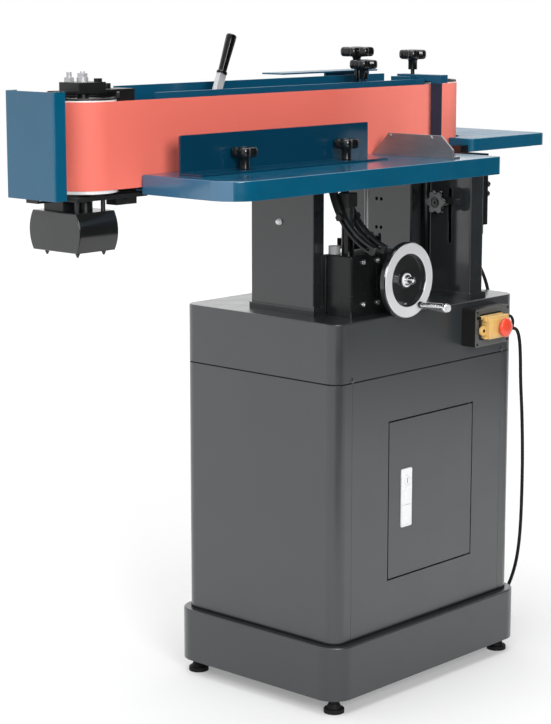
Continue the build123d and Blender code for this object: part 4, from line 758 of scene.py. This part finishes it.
# Moulded plug with a ribbed neck and two pins
bm = bmesh.new()
rings = [(0, 4.2)]
for k in range(5):
    r = 5.4 + 0.35 * k
    rings += [(3 * k + 0.3, r), (3 * k + 1.6, r + 0.1), (3 * k + 2.0, r - 0.7),
              (3 * k + 3.0, r - 0.6)]
sections = (
    (16, 7.2, 7.2, 2), (18, 9, 8.6, 2.6), (22, 12, 10.4, 3.4), (27, 13, 11, 4), (35, 12.2, 10.2, 4),
    (43, 13, 11, 4), (46.6, 13, 11, 4), (48, 12, 10, 4),
)
rings += [(along, ("box", half_x, half_z, power)) for along, half_x, half_z, power in sections]
turn(bm, (637.125, 24, 12.6), FRONT, rings)
for x in (629.125, 645.125):
    turn(bm, (x, -23.5, 12.6), FRONT, [
        (0, 2.4), (9, 2.4), (9.2, 2.1, 1), (17, 2.1, 1), (18, 1.6, 1), (18.5, 0.8, 1),
    ], count=24)
looks = ["rubber", "chrome"]
plug = piece("mains_plug_moulded", bm, looks, "stand", ("mains_plug",))


# Cords: each a smooth line through its route

def spline_cord(name, route, radius, stands_for):
    data = bpy.data.curves.new(name, "CURVE")
    data.dimensions = "3D"
    line = data.splines.new("NURBS")
    line.points.add(len(route) - 1)
    for point, spot in zip(line.points, route):
        point.co = (spot[0] * MM, spot[1] * MM, spot[2] * MM, 1.0)
    line.order_u = 3
    line.use_endpoint_u = True
    line.resolution_u = 12
    data.bevel_depth = radius * MM
    data.bevel_resolution = 6
    data.use_fill_caps = True
    data.materials.append(M["rubber"])
    obj = bpy.data.objects.new(name, data)
    scene.collection.objects.link(obj)
    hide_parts(*stands_for)
    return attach(obj, "stand")


LEAD_Y, MAINS_Y, CORD_Y = -172.5, -179.5, -177.5
MOTOR_ROUTE = [
    (466, -41, 856), (468, -43, 832), (480, -60, 802), (489, -69, 772), (496, -73, 742),
    (503, -73, 713), (508, -72.5, 687), (505, -72, 668), (497, -72, 660), (484, -72, 660),
]
LEAD_ROUTE = [
    (419.5, LEAD_Y, 716), (430.5, LEAD_Y, 716), (441, LEAD_Y, 711.5), (446, LEAD_Y + 0.1, 702.5),
    (445, LEAD_Y + 0.3, 693.5), (441.5, LEAD_Y + 0.6, 685.5), (438, LEAD_Y + 5.2, 680),
    (438, -163, 680),
]
COIL_X, COIL_Y, COIL_LOW = 590.0, 60.0, 4.9
COIL_TURNS, COIL_PITCH, COIL_MIN, COIL_STEP = 4.5, 7.7, 29.8, math.pi / 8
COIL_OUT = COIL_MIN + COIL_PITCH * COIL_TURNS / 2
MAINS_ROUTE = [
    (429.5, MAINS_Y, 690), (446, MAINS_Y, 690), (459, MAINS_Y + 0.3, 671), (465.5, CORD_Y - 1, 632),
    (470, CORD_Y + 0.5, 575), (476, CORD_Y, 515), (481, CORD_Y + 0.5, 455), (484, CORD_Y + 1, 395),
    (486, CORD_Y + 2.5, 335), (487.5, CORD_Y + 4.5, 278), (491, CORD_Y + 10, 228),
    (498, CORD_Y + 21, 185), (508, CORD_Y + 38, 146), (519, CORD_Y + 60, 108),
    (528, CORD_Y + 86, 72), (535, CORD_Y + 115, 42), (540, CORD_Y + 145, 20),
    (542.5, CORD_Y + 175, 8), (COIL_X - COIL_OUT, COIL_Y - 32, COIL_LOW),
    (COIL_X - COIL_OUT, COIL_Y - 7, COIL_LOW),
]
coil_route = []
for k in range(int(COIL_TURNS * 16) + 1):
    turned_by = k * COIL_STEP
    off = turned_by - math.pi * COIL_TURNS
    r = COIL_MIN + COIL_PITCH * abs(off) / (2 * math.pi)
    # The line runs inside its points, so they stand a little further out
    r /= 1 - COIL_STEP ** 2 / 8
    u = max(0.0, min(1.0, off / math.pi + 0.5))
    a = math.pi - turned_by
    z = COIL_LOW + COIL_PITCH * (0.5 - 0.5 * math.cos(math.pi * u))
    coil_route.append((COIL_X + r * math.cos(a), COIL_Y + r * math.sin(a), z))
coil_route.append((COIL_X + COIL_OUT, COIL_Y - 24, COIL_LOW + COIL_PITCH))
coil_route.append((COIL_X + COIL_OUT, COIL_Y - 36, COIL_LOW + COIL_PITCH))

motor_cable = spline_cord("motor_cable_flex", MOTOR_ROUTE, 3.5, ("motor_cable",))
switch_lead = spline_cord("switch_lead_flex", LEAD_ROUTE, 3.0, ("switch_lead",))
mains = spline_cord("mains_flex", MAINS_ROUTE + coil_route, 3.5, ("mains_cord", "cord_coil"))


# Stage: white floor that keeps a faint shadow, soft studio lights, and the photograph's camera

YAW, PITCH = math.radians(42.606), math.radians(10.41)
WHITE = (1.0, 1.0, 1.0, 1.0)
FLOOR_FAR, FLOOR_RIGHT, FLOOR_NEAR = 12, 3.3, 1.6
right, back = Vector((0.735, -0.678, 0)), Vector((0.678, 0.735, 0))
left = -right
corners = [
    right * FLOOR_RIGHT + back * FLOOR_FAR, left * FLOOR_FAR + back * FLOOR_FAR,
    left * FLOOR_FAR - back * FLOOR_NEAR, right * FLOOR_RIGHT - back * FLOOR_NEAR,
]
floor_mesh = bpy.data.meshes.new("floor")
floor_mesh.from_pydata([tuple(v) for v in corners], [], [(0, 1, 2, 3)])
floor = bpy.data.objects.new("floor", floor_mesh)
scene.collection.objects.link(floor)
floor_mat = bpy.data.materials.new("floor")
floor_mat.use_nodes = True
tree = floor_mat.node_tree
tree.nodes.clear()
out = tree.nodes.new("ShaderNodeOutputMaterial")
both = tree.nodes.new("ShaderNodeAddShader")
lit = add(tree, "ShaderNodeBsdfDiffuse", Color=(0.60, 0.60, 0.60, 1.0))
glow = add(tree, "ShaderNodeEmission", Color=WHITE)
away = from_axis(tree, (0.19, 0.04, 0.0), (1.0, 1.0, 0.0))
tree.links.new(span(tree, away, 0.25, 0.64, 0.7, 4.2), glow.inputs["Strength"])
tree.links.new(lit.outputs[0], both.inputs[0])
tree.links.new(glow.outputs[0], both.inputs[1])
tree.links.new(both.outputs[0], out.inputs["Surface"])
floor_mesh.materials.append(floor_mat)

world = bpy.data.worlds.new("studio")
scene.world = world
world.use_nodes = True
tree = world.node_tree
tree.nodes.clear()
out = tree.nodes.new("ShaderNodeOutputWorld")
white = add(tree, "ShaderNodeBackground", Color=WHITE, Strength=1.0)
soft = add(tree, "ShaderNodeBackground", Color=WHITE)
way = tree.nodes.new("ShaderNodeTexCoord").outputs["Generated"]
view_way = (math.cos(YAW), math.sin(YAW), 0.0)
ahead = vector_sums(tree, "DOT_PRODUCT", way, view_way).outputs["Value"]
aside = vector_sums(tree, "DOT_PRODUCT", way, tuple(left)).outputs["Value"]
behind = span(tree, ahead, 0.012, 1.2, 0.25, 0.70)
beside = span(tree, aside, 0.012, 1.0, 0.02, 0.14)
tree.links.new(sums(tree, "MAXIMUM", behind, beside), soft.inputs["Strength"])
rays = tree.nodes.new("ShaderNodeLightPath")
seen = sums(tree, "MAXIMUM", rays.outputs["Is Camera Ray"], rays.outputs["Is Transmission Ray"])
blend = tree.nodes.new("ShaderNodeMixShader")
tree.links.new(seen, blend.inputs[0])
tree.links.new(soft.outputs[0], blend.inputs[1])
tree.links.new(white.outputs[0], blend.inputs[2])
tree.links.new(blend.outputs[0], out.inputs["Surface"])


def area_light(name, spot, target, width, height, power):
    data = bpy.data.lights.new(name, "AREA")
    data.shape = "RECTANGLE"
    data.size = width
    data.size_y = height
    data.energy = power
    obj = bpy.data.objects.new(name, data)
    obj.location = spot
    obj.rotation_euler = (Vector(target) - Vector(spot)).to_track_quat("-Z", "Y").to_euler()
    scene.collection.objects.link(obj)


area_light("overhead", (-0.3, -0.5, 4.2), (0.0, 0.0, 0.8), 3.2, 3.2, 140)
area_light("key", (-2.4, -4.2, 2.4), (0.1, 0.0, 0.70), 1.9, 1.9, 185)

SENSOR, FOCAL_PIXELS, PHOTO_HEIGHT = 36.0, 2029.3, 724.0
camera_data = bpy.data.cameras.new("camera")
camera_data.sensor_width = SENSOR
camera_data.lens = FOCAL_PIXELS * SENSOR / PHOTO_HEIGHT
camera_data.clip_end = 60.0
camera = bpy.data.objects.new("camera", camera_data)
scene.collection.objects.link(camera)
camera.location = (-2.8807, -2.5754, 1.3661)
level = math.cos(PITCH)
way = Vector((level * math.cos(YAW), level * math.sin(YAW), -math.sin(PITCH)))
camera.rotation_euler = way.to_track_quat("-Z", "Y").to_euler()
scene.camera = camera
